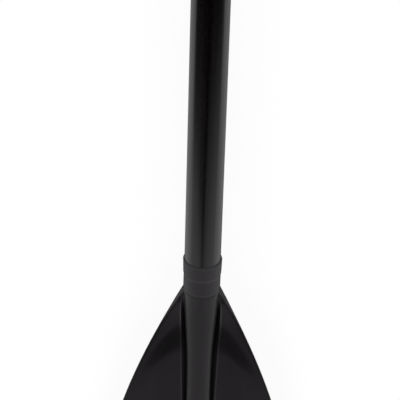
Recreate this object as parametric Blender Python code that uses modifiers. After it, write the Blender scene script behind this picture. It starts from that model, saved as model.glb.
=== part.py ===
"""Two-piece rowing oar, in metres, lying along X with its handle at +X.

The blade's spined back faces +Z. The oar rests on the stop collar and on the two corners of the
blade's tip, and the origin is on the floor, halfway along its length.
"""
import math

import bmesh
import bpy

# Running and touching pieces keep this clearance
GAP = 0.0003

# Shaft tubes
TUBE_DIAMETER = 0.030
TUBE_WALL = 0.0015
LOWER_TUBE_LENGTH = 0.375
UPPER_TUBE_LENGTH = 0.657
TUBE_SEGMENTS = 40

# Blade, measured from the line where its wings begin
BLADE_LENGTH = 0.440
BLADE_WIDTH = 0.182
BLADE_WIDEST_AT = 0.305
WING_ROOT_HALF_WIDTH = 0.0159
WING_OUTLINE_POWER = 1.94
TIP_OUTLINE_POWER = 2.5
TIP_EDGE_WIDTH = 0.026
WING_THICKNESS = 0.0050
RIM_THICKNESS = 0.0034
EDGE_ROUND = 0.0030
EDGE_ROUND_SHARE = 0.42
BLADE_CAMBER = 0.007
NECK_DIAMETER = 0.0287
NECK_LENGTH = 0.0155
SPIGOT_LENGTH = 0.055
SPIGOT_CHAMFER = 0.0015

# Thicker root, where the wings grow out of the neck
FLARE_RISE = 0.0042
FLARE_LENGTH = 0.021
FLARE_EDGE_FALL = 0.5
FLARE_EDGE_POWER = 8

# Step up in the wings, along an arch that starts beside the spine and fades towards the rim
LIFT_RISE = 0.0036
LIFT_START = 0.034
LIFT_LENGTH = 0.034
LIFT_ARCH = 0.046
LIFT_FADES_FROM = 0.50
LIFT_FADES_OVER = 0.46
LIFT_ENDS_FROM = 0.190
LIFT_ENDS_OVER = 0.210

# Spine along the blade's middle
SPINE_HALF_WIDTH = 0.0109
SPINE_NARROWS_OVER = 0.055
SPINE_NARROWING_POWER = 1.2
SPINE_TAPER_START = 0.130
SPINE_TIP_NARROWING = 0.7
SPINE_TOP_LENGTH = 0.345
SPINE_UNDER_LENGTH = 0.235
SPINE_FALL_POWER = 1.1
SPINE_GROWTH = 0.0005
SPINE_GROWS_OVER = 0.045
SPINE_FULLNESS = 2.8
SPINE_FILLS_OVER = 0.060
SPINE_LIFT_START = 0.060
SPINE_LIFT_LENGTH = 0.160
SPINE_SIDES = 32

# Groove on each side of the spine
GROOVE_WIDTH = 0.0037
GROOVE_DEPTH = 0.0031
GROOVE_LEAD = 0.007
GROOVE_OPENS_OVER = 0.012
GROOVE_STARTS = 0.004
GROOVE_DEEPENS_OVER = 0.040
GROOVE_NARROWING = 0.35
GROOVE_NARROWS_FROM = 0.070
GROOVE_NARROWS_OVER = 0.080
GROOVE_UNDER_SPINE = 0.0006

# Sleeve shrunk over the tube's end and the blade's neck
SLEEVE_WALL = 0.00075
SLEEVE_ON_TUBE = 0.016
SLEEVE_TO_WING = 0.0009
SLEEVE_LIP = 0.0002
SLEEVE_STEP_LENGTH = 0.0016
SLEEVE_TAPER = 0.0012

# Pin through the tube and the spigot, under the sleeve
PIN_DIAMETER = 0.004
PIN_FROM_TUBE_END = 0.008

# Closed foam plugs inside the tubes
FLOAT_PLUG_LENGTH = 0.050
FLOAT_PLUG_CHAMFER = 0.002

# Ferrule that joins the two halves
FERRULE_WALL = 0.002
FERRULE_IN_LOWER = 0.070
FERRULE_IN_UPPER = 0.110
FERRULE_FLANGE_WIDTH = 0.004
FERRULE_FLANGE_RISE = 0.0006
RIVET_SHANK_DIAMETER = 0.0041
RIVET_HEAD_DIAMETER = 0.0084
RIVET_HEAD_HEIGHT = 0.0015
RIVET_TAIL_DIAMETER = 0.0060
RIVET_TAIL_LENGTH = 0.0024
RIVET_FROM_JOINT = 0.030

# Snap button and the bent leaf spring under it
BUTTON_DIAMETER = 0.007
BUTTON_FROM_MOUTH = 0.020
BUTTON_PROUD = 0.003
BUTTON_FLANGE_DIAMETER = 0.0088
BUTTON_FLANGE_THICKNESS = 0.001
BUTTON_DOME_SHARE = 0.5
BUTTON_DOME_POWER = 0.6
SPRING_WIDTH = 0.009
SPRING_THICKNESS = 0.0009
SPRING_LENGTH = 0.044
SPRING_BEND_RADIUS = 0.003
SPRING_SEAT_LENGTH = 0.007
SPRING_BEND_HALF_TURNS = 0.85
SPRING_BEND_STEPS = 8

# Wear sleeve that turns in the rowlock
WEAR_SLEEVE_LENGTH = 0.250
WEAR_SLEEVE_WALL = 0.0032
WEAR_FLANGE_WIDTH = 0.008
WEAR_FLANGE_RISE = 0.0028
WEAR_SLEEVE_FROM_JOINT = 0.0695

# Clamped stop collar
COLLAR_DIAMETER = 0.072
COLLAR_WIDTH = 0.030
COLLAR_EDGE_ROUND = 0.004
COLLAR_SPLIT = 0.002
COLLAR_FROM_SLEEVE_END = 0.050
COLLAR_SCREW_SPACING = 0.055
SCREW_DIAMETER = 0.005
SCREW_HEAD_DIAMETER = 0.0085
SCREW_HEAD_HEIGHT = 0.005
SCREW_SEAT_HEIGHT = 0.014
SCREW_PAST_NUT = 0.0015
SCREW_SOCKET_ACROSS_FLATS = 0.004
SCREW_SOCKET_DEPTH = 0.0025
SCREW_EDGE_EASE = 0.0005
NUT_ACROSS_FLATS = 0.008
NUT_HEIGHT = 0.004

# Hand grip and end plug
GRIP_LENGTH = 0.130
GRIP_DIAMETER = 0.0356
GRIP_GUARD_DIAMETER = 0.041
GRIP_GUARD_WIDTH = 0.007
GRIP_GUARD_EASE = 0.002
GRIP_RIB_COUNT = 10
GRIP_RIB_DEPTH = 0.0009
GRIP_RIB_SHARE = 0.4
GRIP_END_EASE = 0.001
GRIP_PLAIN_END = 0.010
PLUG_HEAD_DIAMETER = 0.038
PLUG_HEAD_THICKNESS = 0.0076
PLUG_EDGE_ROUND = 0.003
PLUG_SEAT_EASE = 0.0008
PLUG_SPIGOT_LENGTH = 0.025
PLUG_SPIGOT_CHAMFER = 0.0015

# Sizes that follow from the ones above
TUBE_RADIUS = TUBE_DIAMETER / 2
BORE_RADIUS = TUBE_RADIUS - TUBE_WALL
FIT_RADIUS = BORE_RADIUS - GAP
NECK_RADIUS = NECK_DIAMETER / 2
SHOULDER_RADIUS = NECK_RADIUS + SLEEVE_WALL
FERRULE_BORE_RADIUS = FIT_RADIUS - FERRULE_WALL
WEAR_SLEEVE_RADIUS = TUBE_RADIUS + GAP + WEAR_SLEEVE_WALL
COLLAR_RADIUS = COLLAR_DIAMETER / 2
OAR_LENGTH = (
    BLADE_LENGTH + NECK_LENGTH + LOWER_TUBE_LENGTH + FERRULE_FLANGE_WIDTH + 2 * GAP
    + UPPER_TUBE_LENGTH + GAP + PLUG_HEAD_THICKNESS
)
AXIS_Z = COLLAR_RADIUS

# Stations along the oar, from the blade's tip to the handle
X_TIP = -OAR_LENGTH / 2
X_WING = X_TIP + BLADE_LENGTH
X_TUBE = X_WING + NECK_LENGTH
X_JOINT = X_TUBE + LOWER_TUBE_LENGTH
X_FLANGE = X_JOINT + GAP
X_UPPER = X_FLANGE + FERRULE_FLANGE_WIDTH + GAP
X_HANDLE = X_UPPER + UPPER_TUBE_LENGTH
X_PIN = X_TUBE + PIN_FROM_TUBE_END
X_SPIGOT_END = X_TUBE + SPIGOT_LENGTH
X_RIVET = X_JOINT - RIVET_FROM_JOINT
X_BUTTON = X_UPPER + BUTTON_FROM_MOUTH
X_WEAR = X_JOINT + WEAR_SLEEVE_FROM_JOINT
X_COLLAR = X_WEAR + WEAR_SLEEVE_LENGTH - COLLAR_FROM_SLEEVE_END - COLLAR_WIDTH
X_COLLAR_MIDDLE = X_COLLAR + COLLAR_WIDTH / 2
X_GRIP = X_HANDLE - GRIP_LENGTH

# Sections of the blade's lofts
SECTION_STEP = 0.0004
BODY_SECTIONS = 17
BODY_SECTION_POWER = 1.25
TIP_SECTIONS = 11
SPINE_SECTIONS = 17
SPINE_SECTION_POWER = 1.2


def clear_scene():
    for old in list(bpy.data.objects):
        bpy.data.objects.remove(old, do_unlink=True)


def new_collection(name):
    collection = bpy.data.collections.new(name)
    bpy.context.scene.collection.children.link(collection)
    return collection


def finish_material(name, colour, roughness, metallic=0.0):
    finish = bpy.data.materials.new(name)
    finish.use_nodes = True
    shader = finish.node_tree.nodes["Principled BSDF"]
    shader.inputs["Base Color"].default_value = (*colour, 1.0)
    shader.inputs["Roughness"].default_value = roughness
    shader.inputs["Metallic"].default_value = metallic
    return finish


def add_object(name, mesh, finish, collection):
    piece = bpy.data.objects.new(name, mesh)
    if finish:
        mesh.materials.append(finish)
    collection.objects.link(piece)
    return piece


def mesh_from(name, points, edges, faces):
    mesh = bpy.data.meshes.new(name)
    mesh.from_pydata(points, edges, faces)
    mesh.update()
    return mesh


def turned(name, outer, inner, finish, segments=TUBE_SEGMENTS):
    """Turn a profile about the local Z axis. outer and inner list (along, radius), rising along Z."""
    points = [(radius, 0.0, along) for along, radius in reversed(outer)]
    if inner:
        points += [(radius, 0.0, along) for along, radius in inner]
    else:
        top, bottom = outer[-1][0], outer[0][0]
        points = [(0.0, 0.0, top)] + points + [(0.0, 0.0, bottom)]
    edges = [(i, i + 1) for i in range(len(points) - 1)]
    if inner:
        edges.append((len(points) - 1, 0))
    piece = add_object(name, mesh_from(name, points, edges, []), finish, PARTS)
    screw = piece.modifiers.new("turn", "SCREW")
    screw.axis = "Z"
    screw.steps = segments
    screw.render_steps = segments
    screw.use_merge_vertices = True
    screw.merge_threshold = 0.00001
    screw.use_smooth_shade = True
    return piece


def along_oar(piece):
    """Lay a turned piece's axis along the oar."""
    piece.rotation_euler = (0.0, math.pi / 2, 0.0)
    piece.location = (0.0, 0.0, AXIS_Z)
    return piece


def round_cutter(name, radius, length, location, rotation=(0.0, 0.0, 0.0), sides=24):
    mesh = bpy.data.meshes.new(name)
    shape = bmesh.new()
    bmesh.ops.create_cone(
        shape, cap_ends=True, segments=sides, radius1=radius, radius2=radius, depth=length
    )
    shape.to_mesh(mesh)
    shape.free()
    return place_cutter(add_object(name, mesh, None, CUTTERS), location, rotation)


def box_cutter(name, size, location):
    mesh = bpy.data.meshes.new(name)
    shape = bmesh.new()
    bmesh.ops.create_cube(shape, size=1.0)
    bmesh.ops.scale(shape, vec=size, verts=shape.verts)
    shape.to_mesh(mesh)
    shape.free()
    return place_cutter(add_object(name, mesh, None, CUTTERS), location, (0.0, 0.0, 0.0))


def place_cutter(cutter, location, rotation):
    cutter.location = location
    cutter.rotation_euler = rotation
    cutter.hide_render = True
    cutter.display_type = "WIRE"
    return cutter


def combine(piece, other, operation):
    step = piece.modifiers.new(other.name, "BOOLEAN")
    step.operation = operation
    step.solver = "EXACT"
    step.object = other


def smooth_step(value):
    value = min(max(value, 0.0), 1.0)
    return value * value * (3.0 - 2.0 * value)


def wing_half_width(distance):
    """Half the blade's width at a distance from the start of its wings."""
    widest = BLADE_WIDTH / 2
    if distance <= BLADE_WIDEST_AT:
        left = 1.0 - distance / BLADE_WIDEST_AT
        return widest - (widest - WING_ROOT_HALF_WIDTH) * left ** WING_OUTLINE_POWER
    run = (distance - BLADE_WIDEST_AT) / (BLADE_LENGTH - BLADE_WIDEST_AT)
    round_tip = (1.0 - min(run, 1.0) ** TIP_OUTLINE_POWER) ** (1.0 / TIP_OUTLINE_POWER)
    return max(widest * round_tip, TIP_EDGE_WIDTH / 2)


def groove_fade(distance):
    """1 along the full spine, falling to 0 where the spine ends."""
    return 1.0 - smooth_step((distance - SPINE_TAPER_START) / (SPINE_TOP_LENGTH - SPINE_TAPER_START))


def spine_half_width(distance):
    narrowing = math.exp(-((max(distance, 0.0) / SPINE_NARROWS_OVER) ** SPINE_NARROWING_POWER))
    width = SPINE_HALF_WIDTH + (SHOULDER_RADIUS - SPINE_HALF_WIDTH) * narrowing
    return width * (1.0 - SPINE_TIP_NARROWING * (1.0 - groove_fade(distance)))


def groove_edge(distance):
    """Distance from the middle line to the crest outside the groove."""
    opening = 1.0 - math.exp(-(distance + GROOVE_LEAD) / GROOVE_OPENS_OVER)
    closing = GROOVE_NARROWING * smooth_step((distance - GROOVE_NARROWS_FROM) / GROOVE_NARROWS_OVER)
    return spine_half_width(distance) + GROOVE_WIDTH * opening * (1.0 - closing)


def camber(half_position):
    return BLADE_CAMBER * (half_position / (BLADE_WIDTH / 2)) ** 2


def lift_end(distance):
    """1 over the blade's first half, falling to 0 before its tip."""
    return 1.0 - smooth_step((distance - LIFT_ENDS_FROM) / LIFT_ENDS_OVER)


def wing_lift(distance, half_position):
    """Rise of the wings' mid-surface, later towards the rim than beside the spine."""
    crest = groove_edge(distance)
    out = (half_position - crest) / max(wing_half_width(distance) - crest, SECTION_STEP)
    out = min(max(out, 0.0), 1.0)
    fade = 1.0 - smooth_step((out - LIFT_FADES_FROM) / LIFT_FADES_OVER)
    rise = LIFT_RISE * fade * lift_end(distance)
    return rise * smooth_step((distance - LIFT_START - LIFT_ARCH * out ** 2) / LIFT_LENGTH)


def root_flare(distance, half_position):
    """Extra half thickness of the wings beside the neck."""
    fall = FLARE_EDGE_FALL * min(half_position / wing_half_width(distance), 1.0) ** FLARE_EDGE_POWER
    return FLARE_RISE * math.exp(-((distance / FLARE_LENGTH) ** 2)) * (1.0 - fall)


def spine_lift(distance):
    grown = smooth_step((distance - SPINE_LIFT_START) / SPINE_LIFT_LENGTH)
    return LIFT_RISE * grown * lift_end(distance)


def section_half(distance):
    """Points of one half section as (y, top above the mid-surface, underside below it)."""
    width = wing_half_width(distance)
    spine = spine_half_width(distance)
    crest = groove_edge(distance)
    half_wing = WING_THICKNESS / 2
    half_rim = RIM_THICKNESS / 2
    deepening = smooth_step((distance - GROOVE_STARTS) / GROOVE_DEEPENS_OVER)
    shoulder = half_rim + (half_wing - half_rim) * smooth_step(1.0 - distance / BLADE_WIDEST_AT)
    floor = shoulder - GROOVE_DEPTH * deepening * groove_fade(distance)
    middling = (shoulder + half_rim) / 2
    edge = min(EDGE_ROUND, EDGE_ROUND_SHARE * width)
    span = max(width - edge - crest, 0.0)
    rows = [
        (0.0, floor, shoulder),
        (spine / 2, floor, shoulder),
        (spine - GROOVE_UNDER_SPINE, floor, shoulder),
        (crest, shoulder, shoulder),
        (crest + span * 0.15, shoulder, shoulder),
        (crest + span * 0.35, middling, middling),
        (crest + span * 0.6, half_rim, half_rim),
        (crest + span * 0.8, half_rim, half_rim),
        (width - edge, half_rim, half_rim),
    ]
    for angle in (math.pi / 6, math.pi / 3):
        thin = (half_rim + root_flare(distance, width)) * math.cos(angle) - root_flare(distance, width)
        rows.append((width - edge * (1.0 - math.sin(angle)), thin, thin))
    last = len(rows)
    points = []
    for number, (y, top, under) in enumerate(rows):
        most = width - SECTION_STEP * (last - number)
        least = points[-1][0] + SECTION_STEP if points else 0.0
        y = max(min(y, most), least)
        flare = root_flare(distance, y)
        points.append((y, top + flare, under + flare))
    points.append((width, 0.0, 0.0))
    return points


def blade_stations():
    """Distances of the wing sections, closer together at the root and at the round tip."""
    run = BLADE_LENGTH - BLADE_WIDEST_AT
    stations = [BLADE_WIDEST_AT * (i / BODY_SECTIONS) ** BODY_SECTION_POWER for i in range(BODY_SECTIONS)]
    for i in range(TIP_SECTIONS):
        stations.append(BLADE_WIDEST_AT + run * math.sin(math.pi / 2 * i / TIP_SECTIONS))
    return stations + [BLADE_LENGTH]


def blade_tip_drop():
    """Drop of the tip that sets its two lowest corners on the floor."""
    drops = []
    for distance in blade_stations():
        if distance > BLADE_LENGTH / 2:
            share = (distance / BLADE_LENGTH) ** 2
            for y, _, under in section_half(distance):
                drops.append((AXIS_Z + wing_lift(distance, y) - camber(y) - under) / share)
    return min(drops)


def blade_sag(distance):
    return -TIP_DROP * (max(distance, 0.0) / BLADE_LENGTH) ** 2


def loft_faces(ring_count, ring_size):
    faces = [tuple(range(ring_size))]
    for ring in range(ring_count - 1):
        low = ring * ring_size
        high = low + ring_size
        for i in range(ring_size):
            j = (i + 1) % ring_size
            faces.append((low + j, low + i, high + i, high + j))
    last = (ring_count - 1) * ring_size
    faces.append(tuple(last + i for i in reversed(range(ring_size))))
    return faces


def loft(name, rings, finish, collection):
    points = [point for ring in rings for point in ring]
    mesh = mesh_from(name, points, [], loft_faces(len(rings), len(rings[0])))
    shape = bmesh.new()
    shape.from_mesh(mesh)
    bmesh.ops.recalc_face_normals(shape, faces=shape.faces)
    shape.to_mesh(mesh)
    shape.free()
    return add_object(name, mesh, finish, collection)


def wing_ring(distance):
    half = section_half(distance)
    middle = AXIS_Z + blade_sag(distance)
    x = X_WING - distance
    top, under = [], []
    for y, up, down in half:
        z = middle - camber(y) + wing_lift(distance, y)
        top.append((x, y, z + up))
        under.append((x, y, z - down))
    under.pop()
    mirror_top = [(x, -y, z) for _, y, z in reversed(top[1:])]
    mirror_under = [(x, -y, z) for _, y, z in under[1:]]
    return mirror_top + top + list(reversed(under)) + mirror_under


def oval_ring(x, half_width, up, down, middle, fullness=2.0):
    """Closed oval section. A fullness of 2 gives an ellipse, and more gives a flatter top."""
    ring = []
    for i in range(SPINE_SIDES):
        angle = 2 * math.pi * i / SPINE_SIDES
        across, height = math.cos(angle), math.sin(angle)
        across = math.copysign(abs(across) ** (2 / fullness), across)
        height = math.copysign(abs(height) ** (2 / fullness), height)
        ring.append((x, half_width * across, middle + height * (up if height > 0 else down)))
    return ring


def round_ring(x, radius):
    return oval_ring(x, radius, radius, radius, AXIS_Z)


def spine_rings():
    rings = [
        round_ring(X_SPIGOT_END, FIT_RADIUS - SPIGOT_CHAMFER),
        round_ring(X_SPIGOT_END - SPIGOT_CHAMFER, FIT_RADIUS),
        round_ring(X_TUBE - GAP, FIT_RADIUS),
        round_ring(X_TUBE - GAP, NECK_RADIUS),
        round_ring(X_WING + SLEEVE_TO_WING / 2, NECK_RADIUS),
        round_ring(X_WING + SLEEVE_TO_WING / 2, SHOULDER_RADIUS),
    ]
    for i in range(1, SPINE_SECTIONS + 1):
        distance = SPINE_TOP_LENGTH * (i / SPINE_SECTIONS) ** SPINE_SECTION_POWER
        growth = SPINE_GROWTH * smooth_step(distance / SPINE_GROWS_OVER)
        up = SHOULDER_RADIUS * (1.0 - distance / SPINE_TOP_LENGTH) ** SPINE_FALL_POWER + growth
        fall = max(1.0 - distance / SPINE_UNDER_LENGTH, 0.0)
        down = SHOULDER_RADIUS * fall ** SPINE_FALL_POWER + growth
        middle = AXIS_Z + blade_sag(distance) + spine_lift(distance)
        fullness = 2.0 + (SPINE_FULLNESS - 2.0) * smooth_step(distance / SPINE_FILLS_OVER)
        rings.append(oval_ring(X_WING - distance, spine_half_width(distance), up, down, middle, fullness))
    return rings


def make_blade():
    blade = loft("blade", spine_rings(), BLADE_PLASTIC, PARTS)
    wings = loft("wings", [wing_ring(d) for d in blade_stations()], None, CUTTERS)
    place_cutter(wings, (0.0, 0.0, 0.0), (0.0, 0.0, 0.0))
    combine(blade, wings, "UNION")
    combine(blade, PIN_HOLE, "DIFFERENCE")
    return blade


def make_neck_sleeve():
    low = X_WING + SLEEVE_TO_WING
    high = X_TUBE + SLEEVE_ON_TUBE
    neck_bore = NECK_RADIUS + GAP
    tube_bore = TUBE_RADIUS + GAP
    neck_outside = neck_bore + SLEEVE_WALL
    tube_outside = tube_bore + SLEEVE_WALL
    step = SLEEVE_STEP_LENGTH
    outer = [
        (low, neck_outside - SLEEVE_LIP),
        (low + SLEEVE_LIP, neck_outside + SLEEVE_LIP),
        (low + 3 * step, neck_outside),
        (X_TUBE - GAP - step, neck_outside),
        (X_TUBE - GAP, tube_outside - SLEEVE_LIP),
        (X_TUBE + step, tube_outside),
        (high - 2 * step, tube_outside),
        (high - SLEEVE_TAPER, tube_outside + SLEEVE_LIP),
        (high, tube_bore + SLEEVE_LIP),
    ]
    inner = [
        (low, neck_bore),
        (X_TUBE - GAP - step / 2, neck_bore),
        (X_TUBE - GAP, tube_bore),
        (high, tube_bore),
    ]
    return along_oar(turned("neck_sleeve", outer, inner, SLEEVE_PLASTIC))


def make_blade_pin():
    half = TUBE_RADIUS - GAP
    radius = PIN_DIAMETER / 2
    chamfer = radius / 4
    outer = [
        (-half, radius - chamfer),
        (-half + chamfer, radius),
        (half - chamfer, radius),
        (half, radius - chamfer),
    ]
    pin = turned("blade_pin", outer, None, STEEL, 16)
    pin.rotation_euler = (math.pi / 2, 0.0, 0.0)
    pin.location = (X_PIN, 0.0, AXIS_Z)
    return pin


def make_tube(name, low, high):
    outer = [(low, TUBE_RADIUS), (high, TUBE_RADIUS)]
    inner = [(low, BORE_RADIUS), (high, BORE_RADIUS)]
    return along_oar(turned(name, outer, inner, SHAFT_LACQUER))


def make_float_plug(name, low):
    chamfer = FLOAT_PLUG_CHAMFER
    high = low + FLOAT_PLUG_LENGTH
    outer = [
        (low, FIT_RADIUS - chamfer),
        (low + chamfer, FIT_RADIUS),
        (high - chamfer, FIT_RADIUS),
        (high, FIT_RADIUS - chamfer),
    ]
    return along_oar(turned(name, outer, None, FOAM, 24))


def make_ferrule():
    low = X_JOINT - FERRULE_IN_LOWER
    high = X_UPPER + FERRULE_IN_UPPER
    flange_end = X_FLANGE + FERRULE_FLANGE_WIDTH
    flange = TUBE_RADIUS + FERRULE_FLANGE_RISE
    chamfer = FERRULE_WALL / 2
    outer = [
        (low, FIT_RADIUS - chamfer),
        (low + chamfer, FIT_RADIUS),
        (X_FLANGE, FIT_RADIUS),
        (X_FLANGE, flange - FERRULE_FLANGE_RISE),
        (X_FLANGE + FERRULE_FLANGE_RISE, flange),
        (flange_end - FERRULE_FLANGE_RISE, flange),
        (flange_end, flange - FERRULE_FLANGE_RISE),
        (flange_end, FIT_RADIUS),
        (high - 3 * chamfer, FIT_RADIUS),
        (high, FIT_RADIUS - chamfer),
    ]
    inner = [(low, FERRULE_BORE_RADIUS), (high, FERRULE_BORE_RADIUS)]
    ferrule = along_oar(turned("ferrule", outer, inner, FERRULE_PLASTIC))
    combine(ferrule, RIVET_HOLE, "DIFFERENCE")
    combine(ferrule, BUTTON_HOLE, "DIFFERENCE")
    return ferrule


def make_ferrule_rivet(name, side):
    """Dome head outside the tube, shank through both walls, formed tail inside the ferrule."""
    seat = TUBE_RADIUS + GAP
    shank = RIVET_SHANK_DIAMETER / 2
    head = RIVET_HEAD_DIAMETER / 2
    tail = RIVET_TAIL_DIAMETER / 2
    inside = math.sqrt(FERRULE_BORE_RADIUS ** 2 - tail ** 2) - GAP
    dome = [
        (seat + RIVET_HEAD_HEIGHT * math.sin(angle), head * math.cos(angle))
        for angle in (0.0, math.pi / 8, math.pi / 4, 3 * math.pi / 8)
    ]
    outer = [
        (inside - RIVET_TAIL_LENGTH, shank),
        (inside - RIVET_TAIL_LENGTH / 2, tail),
        (inside, tail),
        (inside, shank),
        (seat, shank),
    ] + dome
    rivet = turned(name, outer, None, STEEL, 20)
    rivet.rotation_euler = (-side * math.pi / 2, 0.0, 0.0)
    rivet.location = (X_RIVET, 0.0, AXIS_Z)
    return rivet


def spring_room(half_width):
    """Height inside the ferrule's bore that a flat piece of this half width can reach."""
    flat = FERRULE_BORE_RADIUS * math.cos(math.pi / TUBE_SEGMENTS)
    return math.sqrt(flat ** 2 - half_width ** 2) - GAP


def make_snap_button():
    flange = BUTTON_FLANGE_DIAMETER / 2
    pin = BUTTON_DIAMETER / 2
    seat = spring_room(flange)
    top = TUBE_RADIUS + BUTTON_PROUD
    dome = [
        (top - pin * BUTTON_DOME_SHARE * (1 - math.sin(angle)), pin * math.cos(angle) ** BUTTON_DOME_POWER)
        for angle in (0.0, math.pi / 8, math.pi / 4, 3 * math.pi / 8)
    ]
    outer = [(seat - BUTTON_FLANGE_THICKNESS, flange), (seat, flange), (seat, pin)] + dome
    button = turned("snap_button", outer, None, STEEL, 24)
    button.location = (X_BUTTON, 0.0, AXIS_Z)
    return button


def spring_centre_line():
    """Side view of the bent leaf as (x, z) from the button's axis."""
    half = SPRING_THICKNESS / 2
    low = -spring_room(SPRING_WIDTH / 2) + half
    flange_under = spring_room(BUTTON_FLANGE_DIAMETER / 2) - BUTTON_FLANGE_THICKNESS
    high = flange_under - GAP - half
    seat = SPRING_SEAT_LENGTH
    bend_x = seat - SPRING_LENGTH
    bend_z = low + SPRING_BEND_RADIUS
    arc = []
    for i in range(SPRING_BEND_STEPS + 1):
        angle = math.pi * (1.5 - SPRING_BEND_HALF_TURNS * i / SPRING_BEND_STEPS)
        across, height = SPRING_BEND_RADIUS * math.cos(angle), SPRING_BEND_RADIUS * math.sin(angle)
        arc.append((bend_x + across, bend_z + height))
    return [(seat, low)] + arc + [(-seat, high), (seat, high)]


def make_snap_spring():
    line = spring_centre_line()
    half = SPRING_THICKNESS / 2
    left, right = [], []
    for i, (x, z) in enumerate(line):
        ahead = line[min(i + 1, len(line) - 1)]
        behind = line[max(i - 1, 0)]
        run_x, run_z = ahead[0] - behind[0], ahead[1] - behind[1]
        size = math.hypot(run_x, run_z)
        left.append((x - half * run_z / size, z + half * run_x / size))
        right.append((x + half * run_z / size, z - half * run_x / size))
    outline = left + list(reversed(right))
    curve = bpy.data.curves.new("snap_spring", "CURVE")
    curve.dimensions = "2D"
    curve.fill_mode = "BOTH"
    curve.extrude = SPRING_WIDTH / 2
    spline = curve.splines.new("POLY")
    spline.points.add(len(outline) - 1)
    for point, (x, z) in zip(spline.points, outline):
        point.co = (x, z, 0.0, 1.0)
    spline.use_cyclic_u = True
    curve.materials.append(STEEL)
    spring = bpy.data.objects.new("snap_spring", curve)
    PARTS.objects.link(spring)
    spring.rotation_euler = (math.pi / 2, 0.0, 0.0)
    spring.location = (X_BUTTON, 0.0, AXIS_Z)
    return spring


def make_wear_sleeve():
    low = X_WEAR
    high = X_WEAR + WEAR_SLEEVE_LENGTH
    bore = TUBE_RADIUS + GAP
    flange = WEAR_SLEEVE_RADIUS + WEAR_FLANGE_RISE
    ease = WEAR_FLANGE_RISE / 2
    outer = [
        (low, flange - 2 * ease),
        (low + ease, flange),
        (low + WEAR_FLANGE_WIDTH - ease, flange),
        (low + WEAR_FLANGE_WIDTH + ease, WEAR_SLEEVE_RADIUS),
        (high - WEAR_FLANGE_WIDTH - ease, WEAR_SLEEVE_RADIUS),
        (high - WEAR_FLANGE_WIDTH + ease, flange),
        (high - ease, flange),
        (high, flange - 2 * ease),
    ]
    return along_oar(turned("wear_sleeve", outer, [(low, bore), (high, bore)], WEAR_PLASTIC))


def make_collar_half(name, side):
    """Half of the clamped ring. side is 1 above the split and -1 below it."""
    low, high = X_COLLAR, X_COLLAR + COLLAR_WIDTH
    bore = WEAR_SLEEVE_RADIUS + GAP
    edge = COLLAR_EDGE_ROUND
    turn = [math.pi / 2 * i / 3 for i in range(4)]
    rounding = [(edge * (1 - math.sin(a)), COLLAR_RADIUS - edge * (1 - math.cos(a))) for a in turn]
    lead = [(low + inset, radius) for inset, radius in reversed(rounding)]
    trail = [(high - inset, radius) for inset, radius in rounding]
    half = along_oar(turned(name, lead + trail, [(low, bore), (high, bore)], COLLAR_PLASTIC))
    reach = COLLAR_DIAMETER
    box = box_cutter(
        name + "_split",
        (reach, 2 * reach, reach),
        (X_COLLAR_MIDDLE, 0.0, AXIS_Z - side * (reach / 2 - COLLAR_SPLIT / 2)),
    )
    combine(half, box, "DIFFERENCE")
    for hand, y in COLLAR_SCREW_SIDES:
        clear = SCREW_DIAMETER / 2 + GAP
        hole = round_cutter(f"{name}_hole_{hand}", clear, COLLAR_DIAMETER, (X_COLLAR_MIDDLE, y, AXIS_Z))
        combine(half, hole, "DIFFERENCE")
        middle = (X_COLLAR_MIDDLE, y, AXIS_Z + side * (SCREW_SEAT_HEIGHT + COLLAR_RADIUS / 2))
        if side > 0:
            pocket = round_cutter(
                f"{name}_pocket_{hand}", SCREW_HEAD_DIAMETER / 2 + GAP, COLLAR_RADIUS, middle
            )
        else:
            corner = (NUT_ACROSS_FLATS / 2 + GAP) / math.cos(math.pi / 6)
            pocket = round_cutter(f"{name}_pocket_{hand}", corner, COLLAR_RADIUS, middle, sides=6)
        combine(half, pocket, "DIFFERENCE")
    return half


def make_collar_screw(hand, y):
    seat = SCREW_SEAT_HEIGHT + GAP
    end = -SCREW_SEAT_HEIGHT - GAP - NUT_HEIGHT - SCREW_PAST_NUT
    shank = SCREW_DIAMETER / 2
    head = SCREW_HEAD_DIAMETER / 2
    top = seat + SCREW_HEAD_HEIGHT
    ease = SCREW_EDGE_EASE
    outer = [
        (end, shank - ease),
        (end + ease, shank),
        (seat, shank),
        (seat, head),
        (top - ease, head),
        (top, head - ease),
    ]
    screw = turned(f"collar_screw_{hand}", outer, None, STEEL, 20)
    screw.location = (X_COLLAR_MIDDLE, y, AXIS_Z)
    socket = round_cutter(
        f"screw_socket_{hand}",
        SCREW_SOCKET_ACROSS_FLATS / 2 / math.cos(math.pi / 6),
        2 * SCREW_SOCKET_DEPTH,
        (X_COLLAR_MIDDLE, y, AXIS_Z + top),
        sides=6,
    )
    combine(screw, socket, "DIFFERENCE")
    return screw


def make_collar_nut(hand, y):
    corner = NUT_ACROSS_FLATS / 2 / math.cos(math.pi / 6)
    bore = SCREW_DIAMETER / 2 + GAP
    mesh = bpy.data.meshes.new(f"collar_nut_{hand}")
    shape = bmesh.new()
    bmesh.ops.create_cone(
        shape, cap_ends=True, segments=6, radius1=corner, radius2=corner, depth=NUT_HEIGHT
    )
    shape.to_mesh(mesh)
    shape.free()
    nut = add_object(f"collar_nut_{hand}", mesh, STEEL, PARTS)
    nut.location = (X_COLLAR_MIDDLE, y, AXIS_Z - SCREW_SEAT_HEIGHT - GAP - NUT_HEIGHT / 2)
    combine(nut, round_cutter(f"nut_bore_{hand}", bore, 3 * NUT_HEIGHT, nut.location), "DIFFERENCE")
    return nut


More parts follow.
